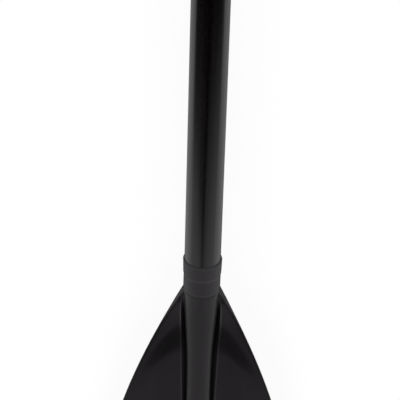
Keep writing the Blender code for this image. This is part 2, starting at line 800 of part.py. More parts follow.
def make_hand_grip():
    low, high = X_GRIP, X_HANDLE
    bore = TUBE_RADIUS + GAP
    radius = GRIP_DIAMETER / 2
    guard = GRIP_GUARD_DIAMETER / 2
    outer = [
        (low, guard - GRIP_GUARD_EASE),
        (low + GRIP_GUARD_EASE, guard),
        (low + GRIP_GUARD_WIDTH - GRIP_GUARD_EASE, guard),
        (low + GRIP_GUARD_WIDTH + GRIP_GUARD_EASE, radius),
    ]
    start = low + GRIP_GUARD_WIDTH + GRIP_PLAIN_END
    pitch = (high - GRIP_PLAIN_END - start) / GRIP_RIB_COUNT
    for rib in range(GRIP_RIB_COUNT):
        at = start + rib * pitch
        outer += [
            (at, radius),
            (at + pitch * GRIP_RIB_SHARE / 2, radius - GRIP_RIB_DEPTH),
            (at + pitch * GRIP_RIB_SHARE, radius),
        ]
    outer += [(high - GRIP_END_EASE, radius), (high, radius - GRIP_END_EASE)]
    return along_oar(turned("hand_grip", outer, [(low, bore), (high, bore)], GRIP_RUBBER, 28))


def make_grip_end_plug():
    seat = X_HANDLE + GAP
    end = seat + PLUG_HEAD_THICKNESS
    head = PLUG_HEAD_DIAMETER / 2
    edge = PLUG_EDGE_ROUND
    chamfer = PLUG_SPIGOT_CHAMFER
    turn = [math.pi / 2 * i / 4 for i in range(5)]
    rounded = [(end - edge * (1 - math.sin(a)), head - edge * (1 - math.cos(a))) for a in turn]
    outer = [
        (X_HANDLE - PLUG_SPIGOT_LENGTH, FIT_RADIUS - chamfer),
        (X_HANDLE - PLUG_SPIGOT_LENGTH + chamfer, FIT_RADIUS),
        (seat, FIT_RADIUS),
        (seat, head - PLUG_SEAT_EASE),
        (seat + PLUG_SEAT_EASE, head),
    ] + rounded
    return along_oar(turned("grip_end_plug", outer, None, GRIP_RUBBER, 32))


clear_scene()
PARTS = new_collection("rowing_oar")
CUTTERS = new_collection("rowing_oar_cutters")

SHAFT_LACQUER = finish_material("shaft_lacquer", (0.012, 0.012, 0.013), 0.18)
BLADE_PLASTIC = finish_material("blade_plastic", (0.022, 0.021, 0.022), 0.42)
SLEEVE_PLASTIC = finish_material("sleeve_plastic", (0.030, 0.029, 0.031), 0.55)
FERRULE_PLASTIC = finish_material("ferrule_plastic", (0.025, 0.025, 0.027), 0.40)
WEAR_PLASTIC = finish_material("wear_plastic", (0.030, 0.030, 0.032), 0.38)
COLLAR_PLASTIC = finish_material("collar_plastic", (0.024, 0.024, 0.026), 0.45)
GRIP_RUBBER = finish_material("grip_rubber", (0.020, 0.020, 0.021), 0.70)
FOAM = finish_material("float_foam", (0.30, 0.30, 0.31), 0.90)
STEEL = finish_material("stainless_steel", (0.55, 0.55, 0.57), 0.28, 1.0)

COLLAR_SCREW_SIDES = (("left", COLLAR_SCREW_SPACING / 2), ("right", -COLLAR_SCREW_SPACING / 2))
TIP_DROP = blade_tip_drop()

ACROSS = (math.pi / 2, 0.0, 0.0)
PIN_HOLE = round_cutter(
    "pin_hole", PIN_DIAMETER / 2 + GAP, 2 * TUBE_DIAMETER, (X_PIN, 0.0, AXIS_Z), ACROSS
)
RIVET_HOLE = round_cutter(
    "rivet_hole", RIVET_SHANK_DIAMETER / 2 + GAP, 2 * TUBE_DIAMETER, (X_RIVET, 0.0, AXIS_Z), ACROSS
)
BUTTON_HOLE = round_cutter(
    "button_hole", BUTTON_DIAMETER / 2 + GAP, TUBE_DIAMETER, (X_BUTTON, 0.0, AXIS_Z + TUBE_DIAMETER / 2)
)

make_blade()
make_neck_sleeve()
make_blade_pin()
lower_shaft = make_tube("lower_shaft", X_TUBE, X_JOINT)
combine(lower_shaft, PIN_HOLE, "DIFFERENCE")
combine(lower_shaft, RIVET_HOLE, "DIFFERENCE")
make_float_plug("lower_float_plug", X_SPIGOT_END + GAP)
make_ferrule()
make_ferrule_rivet("ferrule_rivet_left", 1)
make_ferrule_rivet("ferrule_rivet_right", -1)
make_snap_button()
make_snap_spring()
upper_shaft = make_tube("upper_shaft", X_UPPER, X_HANDLE)
combine(upper_shaft, BUTTON_HOLE, "DIFFERENCE")
make_float_plug("upper_float_plug", X_HANDLE - PLUG_SPIGOT_LENGTH - GAP - FLOAT_PLUG_LENGTH)
make_wear_sleeve()
make_collar_half("stop_collar_upper", 1)
make_collar_half("stop_collar_lower", -1)
for hand, y in COLLAR_SCREW_SIDES:
    make_collar_screw(hand, y)
    make_collar_nut(hand, y)
make_hand_grip()
make_grip_end_plug()
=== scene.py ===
# %% [markdown]
# # A rowing oar, dressed for rendering
# The photograph shows a black oar: a lacquered tube, a moulded blade and a thin sleeve over the
# joint between them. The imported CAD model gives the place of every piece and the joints. This
# notebook lays finer meshes over it, gives each one a procedural material, and sets up the camera
# and the light of the photograph.
#
# The oar lies along X with its handle at +X, and the blade's spined back faces up. Lengths are in
# metres.

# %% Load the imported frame
import math

import bmesh
import bpy
from mathutils import Matrix, Vector


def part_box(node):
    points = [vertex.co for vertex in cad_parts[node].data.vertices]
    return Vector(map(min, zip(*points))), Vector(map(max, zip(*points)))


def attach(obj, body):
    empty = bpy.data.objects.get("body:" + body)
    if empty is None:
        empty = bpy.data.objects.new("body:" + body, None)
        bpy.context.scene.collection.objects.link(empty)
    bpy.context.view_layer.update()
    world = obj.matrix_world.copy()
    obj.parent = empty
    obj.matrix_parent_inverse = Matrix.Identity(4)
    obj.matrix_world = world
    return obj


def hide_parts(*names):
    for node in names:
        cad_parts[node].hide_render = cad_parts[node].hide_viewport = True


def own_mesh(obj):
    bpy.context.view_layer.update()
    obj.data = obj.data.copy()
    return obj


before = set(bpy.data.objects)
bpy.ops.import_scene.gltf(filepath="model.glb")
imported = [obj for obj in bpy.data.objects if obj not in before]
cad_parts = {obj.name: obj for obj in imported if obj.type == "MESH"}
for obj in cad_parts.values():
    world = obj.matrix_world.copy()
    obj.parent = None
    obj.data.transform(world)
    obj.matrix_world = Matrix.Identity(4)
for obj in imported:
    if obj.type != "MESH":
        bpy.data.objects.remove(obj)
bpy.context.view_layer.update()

# %% [markdown]
# ## Places along the oar
# An oar is built up along one straight axis, so most of it is placed by two numbers: how far along
# the shaft, and how far out from the axis. All of them could be typed in again from the CAD source.
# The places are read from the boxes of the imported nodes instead, so that the dressing moves with
# the CAD, and only the radii, which a box hides, are written here.

# %% Places along the shaft
GAP = 0.0003
AXIS_Z = 0.036
TUBE_R = 0.015
BORE_R = 0.0135
FIT_R = BORE_R - GAP
NECK_LENGTH = 0.0155
X_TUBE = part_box("lower_shaft")[0][0]
X_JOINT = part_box("lower_shaft")[1][0]
X_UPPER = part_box("upper_shaft")[0][0]
X_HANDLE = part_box("upper_shaft")[1][0]
X_WING = X_TUBE - NECK_LENGTH
SLEEVE_LOW, SLEEVE_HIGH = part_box("neck_sleeve")[0][0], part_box("neck_sleeve")[1][0]
print(f"shaft from {X_TUBE:.4f} to {X_HANDLE:.4f}, joint at {X_JOINT:.4f}")

# %% [markdown]
# ## Camera
# The photograph looks along the shaft towards the blade, from the handle's side and from above. A
# camera can be aimed by eye, but on a long straight tube a small error in the lens shows at once as
# a wrong taper. So this one was fitted to the edges of the shaft and to the sleeve's rim. The fit
# is written for an oar that stands upright: x to the right, y away from the viewer and z along the
# shaft. Laying the oar down turns these into -Y, -Z and +X.

# %% Camera
FOCAL_PIXELS, FRAME_PIXELS = 1675.83, 400
SENSOR_WIDTH_MM = 36.0
EYE_OUT, EYE_ALONG = 1.11099, 0.81950
PAN, TILT, ROLL = -0.003238, 0.601544, 0.029982
ROUND_AXIS = 0.035


def laid_down(v):
    return Vector((v.z, -v.x, -v.y))


forward = Vector((math.sin(PAN) * math.cos(TILT), math.cos(PAN) * math.cos(TILT), -math.sin(TILT)))
level = Vector((math.cos(PAN), -math.sin(PAN), 0.0))
upward = level.cross(forward)
rolled_right = math.cos(ROLL) * level + math.sin(ROLL) * upward
rolled_up = math.cos(ROLL) * upward - math.sin(ROLL) * level
turn = Matrix([laid_down(v) for v in (rolled_right, rolled_up, -forward)]).transposed()

camera_data = bpy.data.cameras.new("photo_camera")
camera_data.sensor_width = SENSOR_WIDTH_MM
camera_data.lens = FOCAL_PIXELS / FRAME_PIXELS * camera_data.sensor_width
camera = bpy.data.objects.new("photo_camera", camera_data)
bpy.context.scene.collection.objects.link(camera)
eye = Matrix.Translation((SLEEVE_HIGH + EYE_ALONG, 0.0, EYE_OUT)) @ turn.to_4x4()
about_axis = Matrix.Translation((0.0, 0.0, AXIS_Z)) @ Matrix.Rotation(ROUND_AXIS, 4, "X")
camera.matrix_world = about_axis @ eye
bpy.context.scene.camera = camera
print(f"camera lens {camera_data.lens:.1f} mm")

# %% [markdown]
# ## Shader building blocks
# All the oar's blacks differ in their small texture: moulded grain, drawn streaks, glinting flakes
# and wear from hands. Each texture could be built again inside every material. Here each one is a
# node group with named inputs, which turns a place on the object into a number. The materials then
# decide what that number does. A few short helpers keep the node code readable.

# %% Node helpers
VECTOR, FLOAT = "NodeSocketVector", "NodeSocketFloat"
PLACE_INPUT = ("Vector", VECTOR, (0.0, 0.0, 0.0))


def add_node(tree, kind, sockets=None, **settings):
    node = tree.nodes.new(kind)
    for key, value in settings.items():
        setattr(node, key, value)
    for key, value in (sockets or {}).items():
        node.inputs[key].default_value = value
    return node


def new_group(name, inputs, outputs):
    tree = bpy.data.node_groups.new(name, "ShaderNodeTree")
    for label, kind, value in inputs:
        socket = tree.interface.new_socket(label, in_out="INPUT", socket_type=kind)
        socket.default_value = value
    for label in outputs:
        tree.interface.new_socket(label, in_out="OUTPUT", socket_type=FLOAT)
    return tree, add_node(tree, "NodeGroupInput"), add_node(tree, "NodeGroupOutput")


def sum_of(tree, first, first_share, second, second_share):
    """Add two values, each times its share."""
    scale = add_node(tree, "ShaderNodeMath", {1: first_share}, operation="MULTIPLY")
    total = add_node(tree, "ShaderNodeMath", {1: second_share}, operation="MULTIPLY_ADD")
    tree.links.new(first, scale.inputs[0])
    tree.links.new(second, total.inputs[0])
    tree.links.new(scale.outputs[0], total.inputs[2])
    return total.outputs[0]


print("node helpers ready")

# %% [markdown]
# ### Moulded grain
# A mould is etched, so the plastic comes out with fine pebbles, and its black drifts a little in
# cloudy patches. A scanned picture could give both. Noise that is computed from the place on the
# object has no seams and needs no unwrapping, so smooth Voronoi cells make the pebbles here, fine
# noise breaks them up, and a coarse noise makes the clouds.

# %% Group: moulded grain
PEBBLE_SHARE, FINE_SHARE = 0.5, 0.6

GRAIN, grain_in, grain_out = new_group(
    "moulded_grain", [PLACE_INPUT, ("Scale", FLOAT, 1200.0)], ["Height", "Mottle"]
)
pebble = add_node(GRAIN, "ShaderNodeTexVoronoi", feature="SMOOTH_F1")
fine = add_node(GRAIN, "ShaderNodeTexNoise", {"Detail": 3.0, "Roughness": 0.6})
cloud = add_node(GRAIN, "ShaderNodeTexNoise", {"Scale": 38.0, "Detail": 4.0, "Roughness": 0.55})
for texture in (pebble, fine):
    GRAIN.links.new(grain_in.outputs["Vector"], texture.inputs["Vector"])
    GRAIN.links.new(grain_in.outputs["Scale"], texture.inputs["Scale"])
GRAIN.links.new(grain_in.outputs["Vector"], cloud.inputs["Vector"])
height = sum_of(GRAIN, pebble.outputs["Distance"], PEBBLE_SHARE, fine.outputs["Fac"], FINE_SHARE)
GRAIN.links.new(height, grain_out.inputs["Height"])
GRAIN.links.new(cloud.outputs["Fac"], grain_out.inputs["Mottle"])
print("group", GRAIN.name)

# %% [markdown]
# ### Lengthwise streaks
# A tube is drawn through a die and brushed steel is pulled over a belt, and both keep fine lines in
# that direction. Lines could be drawn one by one, but noise that is stretched along X gives
# thousands of them with no two alike. The group gives two widths, fine and broad.

# %% Group: lengthwise streaks of a drawn tube
STREAK_STRETCH = {"Fine": (16.0, 750.0, 750.0), "Broad": (3.0, 380.0, 380.0)}

STREAKS, streak_in, streak_out = new_group("drawn_streaks", [PLACE_INPUT], list(STREAK_STRETCH))
for label, stretch in STREAK_STRETCH.items():
    draw = add_node(STREAKS, "ShaderNodeMapping", {"Scale": stretch})
    lines = add_node(STREAKS, "ShaderNodeTexNoise", {"Scale": 1.0, "Detail": 2.0, "Roughness": 0.5})
    STREAKS.links.new(streak_in.outputs["Vector"], draw.inputs["Vector"])
    STREAKS.links.new(draw.outputs["Vector"], lines.inputs["Vector"])
    STREAKS.links.new(lines.outputs["Fac"], streak_out.inputs[label])
print("group", STREAKS.name)

# %% [markdown]
# ### Glinting flakes
# The lacquer holds a little mica, seen as tiny paler specks. They could be scattered as meshes, at
# a great cost. Voronoi cells give every speck its own random colour, and keeping only the cells
# with a high red value leaves a few of them lit.

# %% Group: glinting flakes
FLAKES, flake_in, flake_out = new_group(
    "glinting_flakes", [PLACE_INPUT, ("Scale", FLOAT, 1700.0), ("Rarity", FLOAT, 0.7)], ["Mask"]
)
specks = add_node(FLAKES, "ShaderNodeTexVoronoi", feature="F1")
pick = add_node(FLAKES, "ShaderNodeSeparateColor")
glint = add_node(FLAKES, "ShaderNodeMapRange", {"From Max": 1.0, "To Min": 0.0, "To Max": 1.0})
FLAKES.links.new(flake_in.outputs["Vector"], specks.inputs["Vector"])
FLAKES.links.new(flake_in.outputs["Scale"], specks.inputs["Scale"])
FLAKES.links.new(specks.outputs["Color"], pick.inputs["Color"])
FLAKES.links.new(pick.outputs["Red"], glint.inputs["Value"])
FLAKES.links.new(flake_in.outputs["Rarity"], glint.inputs["From Min"])
FLAKES.links.new(glint.outputs["Result"], flake_out.inputs["Mask"])
print("group", FLAKES.name)

# %% [markdown]
# ### Handling wear
# Hands leave smudges and the boat leaves scratches. Both could be painted on by hand, but the oar
# is long and evenly used, so noise is enough: a soft one for smudges, and a stretched and tilted
# one, of which only the peaks are kept, for scratches.

# %% Group: handling wear
SCRATCH_FROM, SCRATCH_FULL = 0.64, 0.74

WEAR, wear_in, wear_out = new_group("handling_wear", [PLACE_INPUT], ["Smudge", "Scratch"])
smudge = add_node(
    WEAR, "ShaderNodeTexNoise", {"Scale": 16.0, "Detail": 5.0, "Roughness": 0.6, "Distortion": 0.6}
)
tilt_lines = add_node(
    WEAR, "ShaderNodeMapping", {"Scale": (18.0, 420.0, 260.0), "Rotation": (0.0, 0.1, 0.35)}
)
scratch = add_node(WEAR, "ShaderNodeTexNoise", {"Scale": 1.0, "Detail": 2.0, "Roughness": 0.7})
thin = add_node(WEAR, "ShaderNodeMapRange", {"From Min": SCRATCH_FROM, "From Max": SCRATCH_FULL})
WEAR.links.new(wear_in.outputs["Vector"], smudge.inputs["Vector"])
WEAR.links.new(wear_in.outputs["Vector"], tilt_lines.inputs["Vector"])
WEAR.links.new(tilt_lines.outputs["Vector"], scratch.inputs["Vector"])
WEAR.links.new(scratch.outputs["Fac"], thin.inputs["Value"])
WEAR.links.new(smudge.outputs["Fac"], wear_out.inputs["Smudge"])
WEAR.links.new(thin.outputs["Result"], wear_out.inputs["Scratch"])
print("group", WEAR.name)

# %% [markdown]
# ## Shaft lacquer
# The aluminium tube has a gloss black lacquer, thin enough to show the lines of drawing in its
# reflections. A metal with a clear coat could make it, but under black pigment the metal is never
# seen. So it is a plain dark surface: flakes tint it, streaks change its roughness and bend its
# reflections. The helpers serve every material after it.

# %% Material helpers
def new_material(name):
    material = bpy.data.materials.new(name)
    material.use_nodes = True
    tree = material.node_tree
    place = add_node(tree, "ShaderNodeTexCoord").outputs["Object"]
    return material, tree, tree.nodes["Principled BSDF"], place


def use_group(tree, group, vector, **sockets):
    node = add_node(tree, "ShaderNodeGroup", sockets, node_tree=group)
    tree.links.new(vector, node.inputs["Vector"])
    return node


def tint_by(tree, value, dark, pale, target):
    mix = add_node(tree, "ShaderNodeMix", data_type="RGBA")
    mix.inputs["A"].default_value = (*dark, 1.0)
    mix.inputs["B"].default_value = (*pale, 1.0)
    tree.links.new(value, mix.inputs["Factor"])
    tree.links.new(mix.outputs["Result"], target)


def range_by(tree, value, target, low, high, value_low=0.3, value_high=0.7):
    """Spread a noise, which seldom leaves its middle, over the range from low to high."""
    ends = {"From Min": value_low, "From Max": value_high, "To Min": low, "To Max": high}
    spread = add_node(tree, "ShaderNodeMapRange", ends)
    tree.links.new(value, spread.inputs["Value"])
    tree.links.new(spread.outputs["Result"], target)


def bump_by(tree, value, depth, strength, below=None):
    bump = add_node(tree, "ShaderNodeBump", {"Strength": strength, "Distance": depth})
    tree.links.new(value, bump.inputs["Height"])
    if below:
        tree.links.new(below, bump.inputs["Normal"])
    return bump.outputs["Normal"]


print("material helpers ready")

# %% Shaft lacquer
LACQUER_BLACK = (0.0016, 0.0008, 0.0009)
FLAKE_GREY = (0.0150, 0.0112, 0.0125)

LACQUER, tree, shader, place = new_material("gloss_black_lacquer")
streaks = use_group(tree, STREAKS, place)
flakes = use_group(tree, FLAKES, place, Scale=1900.0, Rarity=0.74)
tint_by(tree, flakes.outputs["Mask"], LACQUER_BLACK, FLAKE_GREY, shader.inputs["Base Color"])
range_by(tree, streaks.outputs["Broad"], shader.inputs["Roughness"], low=0.06, high=0.15)
drawn = bump_by(tree, streaks.outputs["Fine"], depth=0.00006, strength=0.5)
lacquered = bump_by(tree, flakes.outputs["Mask"], depth=0.00001, strength=0.25, below=drawn)
tree.links.new(lacquered, shader.inputs["Normal"])
print("material", LACQUER.name)

# %% [markdown]
# ## Moulded plastics
# Blade, sleeve, ferrule, rowlock sleeve, collar and plug are black plastic or rubber from a mould.
# One shared material would make them look like one piece. Black plastics differ less in colour than
# in how they reflect, so one function builds a material for each, with its own grain, roughness and
# strength of reflection. The blade has two: its spine is smoother than its wings.

# %% Moulded plastic helper
GRAIN_STRENGTH, SCRATCH_STRENGTH = 0.6, 0.3
FINE_SCRATCH = 0.00001
WHITE = (1.0, 1.0, 1.0)


def moulded_plastic(name, dark, pale, rough, grain_scale, grain_depth, scratch_depth=FINE_SCRATCH,
                    specular=0.5, sheen_tint=WHITE):
    material, tree, shader, place = new_material(name)
    shader.inputs["Specular IOR Level"].default_value = specular
    shader.inputs["Specular Tint"].default_value = (*sheen_tint, 1.0)
    grain = use_group(tree, GRAIN, place, Scale=grain_scale)
    wear = use_group(tree, WEAR, place)
    tint_by(tree, grain.outputs["Mottle"], dark, pale, shader.inputs["Base Color"])
    range_by(tree, wear.outputs["Smudge"], shader.inputs["Roughness"], low=rough[0], high=rough[1])
    skin = bump_by(tree, grain.outputs["Height"], grain_depth, GRAIN_STRENGTH)
    scratched = bump_by(tree, wear.outputs["Scratch"], scratch_depth, SCRATCH_STRENGTH, skin)
    tree.links.new(scratched, shader.inputs["Normal"])
    print("material", material.name)
    return material


print("moulded plastic helper ready")

# %% Blade plastics
SPINE_PLASTIC = moulded_plastic(
    "blade_spine_satin", dark=(0.0040, 0.0038, 0.0041), pale=(0.0060, 0.0056, 0.0060),
    rough=(0.38, 0.46), grain_scale=1300.0, grain_depth=0.00002,
    specular=0.39, sheen_tint=(1.0, 0.92, 1.0),
)
WING_PLASTIC = moulded_plastic(
    "blade_wing_grain", dark=(0.0030, 0.0029, 0.0031), pale=(0.0062, 0.0056, 0.0060),
    rough=(0.28, 0.38), grain_scale=900.0, grain_depth=0.00004,
    specular=0.22, sheen_tint=(1.0, 0.86, 1.0),
)

# %% Plastics of the fittings
SLEEVE_PLASTIC = moulded_plastic(
    "shrunk_sleeve_satin", dark=(0.0160, 0.0149, 0.0162), pale=(0.0222, 0.0208, 0.0224),
    rough=(0.48, 0.58), grain_scale=1500.0, grain_depth=0.00003, sheen_tint=(1.0, 0.93, 1.0),
)
FERRULE_PLASTIC = moulded_plastic(
    "ferrule_satin", dark=(0.0060, 0.0060, 0.0064), pale=(0.0095, 0.0095, 0.0100),
    rough=(0.32, 0.44), grain_scale=1100.0, grain_depth=0.00002, scratch_depth=0.00003,
)
WEAR_PLASTIC = moulded_plastic(
    "rowlock_sleeve_waxy", dark=(0.0080, 0.0080, 0.0084), pale=(0.0130, 0.0130, 0.0136),
    rough=(0.26, 0.42), grain_scale=700.0, grain_depth=0.00002, scratch_depth=0.00005,
)
COLLAR_PLASTIC = moulded_plastic(
    "collar_grained", dark=(0.0070, 0.0070, 0.0074), pale=(0.0110, 0.0110, 0.0116),
    rough=(0.42, 0.56), grain_scale=650.0, grain_depth=0.00010,
)
PLUG_RUBBER = moulded_plastic(
    "plug_rubber", dark=(0.0070, 0.0070, 0.0073), pale=(0.0115, 0.0115, 0.0120),
    rough=(0.56, 0.70), grain_scale=900.0, grain_depth=0.00006,
)

# %% [markdown]
# ## Grip rubber
# The grip's rubber has a fine diamond tread for a wet hand. Modelling each diamond would take
# thousands of faces for a relief of under half a millimetre. Two waves that wind round the grip in
# opposite directions cross in diamonds, and their sum makes a bump. The waves need the angle round
# the axis, which comes from Y and Z by an arctangent.

# %% Angle round the grip
TREAD_PITCH = 0.0046
TREADS_ROUND = 24.0
WAVE_SHARE = 0.25

RUBBER, tree, shader, place = new_material("grip_rubber")
split = add_node(tree, "ShaderNodeSeparateXYZ")
drop = add_node(tree, "ShaderNodeMath", {1: AXIS_Z}, operation="SUBTRACT")
round_angle = add_node(tree, "ShaderNodeMath", operation="ARCTAN2")
tree.links.new(place, split.inputs["Vector"])
tree.links.new(split.outputs["Z"], drop.inputs[0])
tree.links.new(split.outputs["Y"], round_angle.inputs[0])
tree.links.new(drop.outputs[0], round_angle.inputs[1])
print(f"tread of {TREAD_PITCH * 1000:.1f} mm, {TREADS_ROUND:.0f} times round the grip")

# %% Rubber with a diamond tread
RUBBER_BLACK, RUBBER_WORN = (0.0065, 0.0065, 0.0068), (0.0115, 0.0115, 0.0120)

waves = []
for lean in (1.0, -1.0):
    winding = lean * TREADS_ROUND
    slant = sum_of(tree, split.outputs["X"], 2 * math.pi / TREAD_PITCH, round_angle.outputs[0], winding)
    wave = add_node(tree, "ShaderNodeMath", operation="COSINE")
    tree.links.new(slant, wave.inputs[0])
    waves.append(wave.outputs[0])
tread = sum_of(tree, waves[0], WAVE_SHARE, waves[1], WAVE_SHARE)
grain = use_group(tree, GRAIN, place, Scale=1600.0)
wear = use_group(tree, WEAR, place)
tint_by(tree, grain.outputs["Mottle"], RUBBER_BLACK, RUBBER_WORN, shader.inputs["Base Color"])
range_by(tree, wear.outputs["Smudge"], shader.inputs["Roughness"], low=0.62, high=0.80)
skin = bump_by(tree, tread, depth=0.0004, strength=0.55)
grained = bump_by(tree, grain.outputs["Height"], depth=0.00005, strength=0.5, below=skin)
tree.links.new(grained, shader.inputs["Normal"])
print("material", RUBBER.name)

# %% [markdown]
# ## Brushed steel
# The pin, rivets, button, spring, screws and nuts are stainless steel with a brushed finish. An
# anisotropic shader would stretch their highlights. These pieces are only millimetres wide, so the
# drawn streaks, used as roughness and as a light bump, give the same look in a simpler way.

# %% Brushed steel
STEEL_DULL, STEEL_BRIGHT = (0.46, 0.46, 0.48), (0.62, 0.62, 0.63)

STEEL, tree, shader, place = new_material("brushed_stainless")
brushed = use_group(tree, STREAKS, place)
wear = use_group(tree, WEAR, place)
shader.inputs["Metallic"].default_value = 1.0
tint_by(tree, wear.outputs["Smudge"], STEEL_DULL, STEEL_BRIGHT, shader.inputs["Base Color"])
range_by(tree, brushed.outputs["Fine"], shader.inputs["Roughness"], low=0.20, high=0.38)
brush_lines = bump_by(tree, brushed.outputs["Fine"], depth=0.00002, strength=0.3)
tree.links.new(brush_lines, shader.inputs["Normal"])
print("material", STEEL.name)

# %% [markdown]
# ## Closed-cell foam
# Two foam plugs keep water out of the tubes. Real foam is full of small closed bubbles. A volume
# could be filled with them, but only the cut skin could ever be seen, so the moulded grain at a
# coarse scale stands for the cells in a strong bump, and in the colour, which is painted darker in
# the pits of the bump as shade in the open cells.

# %% Foam
FOAM_PAINTED_PIT_SHADE, FOAM_PALE = (0.20, 0.20, 0.21), (0.38, 0.38, 0.39)

FOAM, tree, shader, place = new_material("closed_cell_foam")
bubbles = use_group(tree, GRAIN, place, Scale=700.0)
# Painted shade: the colour is darker where the bump is low, in the pits of the open cells
tint_by(tree, bubbles.outputs["Height"], FOAM_PAINTED_PIT_SHADE, FOAM_PALE, shader.inputs["Base Color"])
range_by(tree, bubbles.outputs["Mottle"], shader.inputs["Roughness"], low=0.80, high=0.95)
bubbled = bump_by(tree, bubbles.outputs["Height"], depth=0.0003, strength=0.7)
tree.links.new(bubbled, shader.inputs["Normal"])
print("material", FOAM.name)

# %% [markdown]
# ## Blade
# The blade is one moulding: a half-round spine that grows out of the neck, a V groove on each side
# of it, and two thin wings. The wings are thicker and flared at their root, and step up along an
# arch. Sculpting could follow such a form, but would be hard to change afterwards. Here every
# section is computed from its distance d to the start of the wings, and lofts join the sections,
# so that each feature is a formula with a few sizes.

# %% Outline of the blade
BLADE_LENGTH = 0.440
BLADE_HALF = 0.091
WIDEST_AT = 0.305
ROOT_HALF = 0.0159
OUTLINE_POWER = 1.94
TIP_POWER = 2.5
TIP_HALF = 0.013


def wing_half_width(d):
    if d <= WIDEST_AT:
        return BLADE_HALF - (BLADE_HALF - ROOT_HALF) * (1.0 - d / WIDEST_AT) ** OUTLINE_POWER
    run = min((d - WIDEST_AT) / (BLADE_LENGTH - WIDEST_AT), 1.0)
    return max(BLADE_HALF * (1.0 - run ** TIP_POWER) ** (1.0 / TIP_POWER), TIP_HALF)


print(f"blade {BLADE_LENGTH * 1000:.0f} mm long and {BLADE_HALF * 2000:.0f} mm wide")

# %% Width of the spine
SPINE_HALF = 0.0109
SPINE_ROOT_HALF = 0.0155
SPINE_NARROWS = 0.044
SPINE_NARROWING_POWER = 1.4
SPINE_TOP = 0.345
SPINE_TIP_NARROWING = 0.7
SPINE_MARGIN = 0.0004
TAPER_START = 0.130


def smooth_step(value):
    value = min(max(value, 0.0), 1.0)
    return value * value * (3.0 - 2.0 * value)


def spine_taper(d):
    """0 along the full spine, rising to 1 where it ends."""
    return smooth_step((d - TAPER_START) / (SPINE_TOP - TAPER_START))


def spine_half_width(d):
    narrowing = math.exp(-((max(d, 0.0) / SPINE_NARROWS) ** SPINE_NARROWING_POWER))
    width = SPINE_HALF + (SPINE_ROOT_HALF - SPINE_HALF) * narrowing
    width *= 1.0 - SPINE_TIP_NARROWING * spine_taper(d)
    return min(width, wing_half_width(d) - SPINE_MARGIN)


print(f"spine {SPINE_TOP * 1000:.0f} mm long and {SPINE_HALF * 2000:.1f} mm wide")

# %% Place of the grooves
GROOVE_WIDTH = 0.0032
GROOVE_OPENS_FROM = 0.008
GROOVE_OPENS_OVER = 0.013
GROOVE_NARROWING = 0.30
GROOVE_NARROWS_FROM = 0.07
GROOVE_NARROWS_OVER = 0.08


def groove_edge(d):
    """Distance from the middle line to the crest outside the groove."""
    opening = 1.0 - math.exp(-max(d - GROOVE_OPENS_FROM, 0.0) / GROOVE_OPENS_OVER)
    opening *= 1.0 - GROOVE_NARROWING * smooth_step((d - GROOVE_NARROWS_FROM) / GROOVE_NARROWS_OVER)
    return spine_half_width(d) + SPINE_MARGIN + GROOVE_WIDTH * opening


print(f"groove crest {groove_edge(GROOVE_NARROWS_FROM) * 1000:.1f} mm from the middle line")

# %% [markdown]
# ### Curve of the blade
# Seen along the shaft, the blade is slightly hollow, its wings step up along an arch that starts
# beside the spine, and its tip hangs down. Three deformers could bend a flat blade like that, but
# their order would matter. Here each bend is a height that is added to the middle surface. The tip
# hangs as low as it can without passing the floor, which is worked out from the other two.

# %% Curve of the blade
CAMBER = 0.007
HALF_RIM = 0.0017
LIFT_START = 0.034
LIFT_ARCH = 0.046
LIFT_LENGTH = 0.034
LIFT_RISE = 0.0036
LIFT_FADES_FROM = 0.50
LIFT_FADES_OVER = 0.46
LIFT_ENDS_FROM = 0.190
LIFT_ENDS_OVER = 0.210
LEAST_WING = 0.0002
DROP_STATIONS = 200


def camber(y):
    return CAMBER * (y / BLADE_HALF) ** 2


def lift_end(d):
    return 1.0 - smooth_step((d - LIFT_ENDS_FROM) / LIFT_ENDS_OVER)


def wing_lift(d, y):
    """The wings step up a little, later towards the rim than beside the spine."""
    crest = groove_edge(d)
    out = min(max((y - crest) / max(wing_half_width(d) - crest, LEAST_WING), 0.0), 1.0)
    rise = LIFT_RISE * (1.0 - smooth_step((out - LIFT_FADES_FROM) / LIFT_FADES_OVER)) * lift_end(d)
    return rise * smooth_step((d - LIFT_START - LIFT_ARCH * out ** 2) / LIFT_LENGTH)


def drop_to_floor(d):
    """The tip drop at which the rim would touch the floor at d."""
    rim = wing_half_width(d)
    return (AXIS_Z + wing_lift(d, rim) - camber(rim) - HALF_RIM) / (d / BLADE_LENGTH) ** 2


outer_half = [BLADE_LENGTH * (0.5 + 0.5 * i / DROP_STATIONS) for i in range(DROP_STATIONS)]
TIP_DROP = min(drop_to_floor(d) for d in outer_half)


def blade_sag(d):
    return -TIP_DROP * (max(d, 0.0) / BLADE_LENGTH) ** 2


print(f"tip drop {TIP_DROP * 1000:.2f} mm")

# %% [markdown]
# ### Wings
# A wing is thickest at its root and thins towards the rim, which is rounded. Beside the spine its
# face drops into the groove, and a faint bead marks the crest outside. A plain sheet with a Solidify
# modifier would have one thickness. So each section lists its own heights over and under the middle
# surface, with more rows where the groove turns sharply.

# %% Thickness of the wings
HALF_WING = 0.0025
RIM_WIDTH = 0.012
LEAST_SPAN = 0.002
THINS_OVER = 0.6
FLARE_LENGTH = 0.026
FLARE_RISE = 0.0050
FLARE_AT_SPINE = 0.70
FLARE_GROWS_OVER = 0.0035
FLARE_EDGE_FALL = 0.5
FLARE_EDGE_POWER = 8


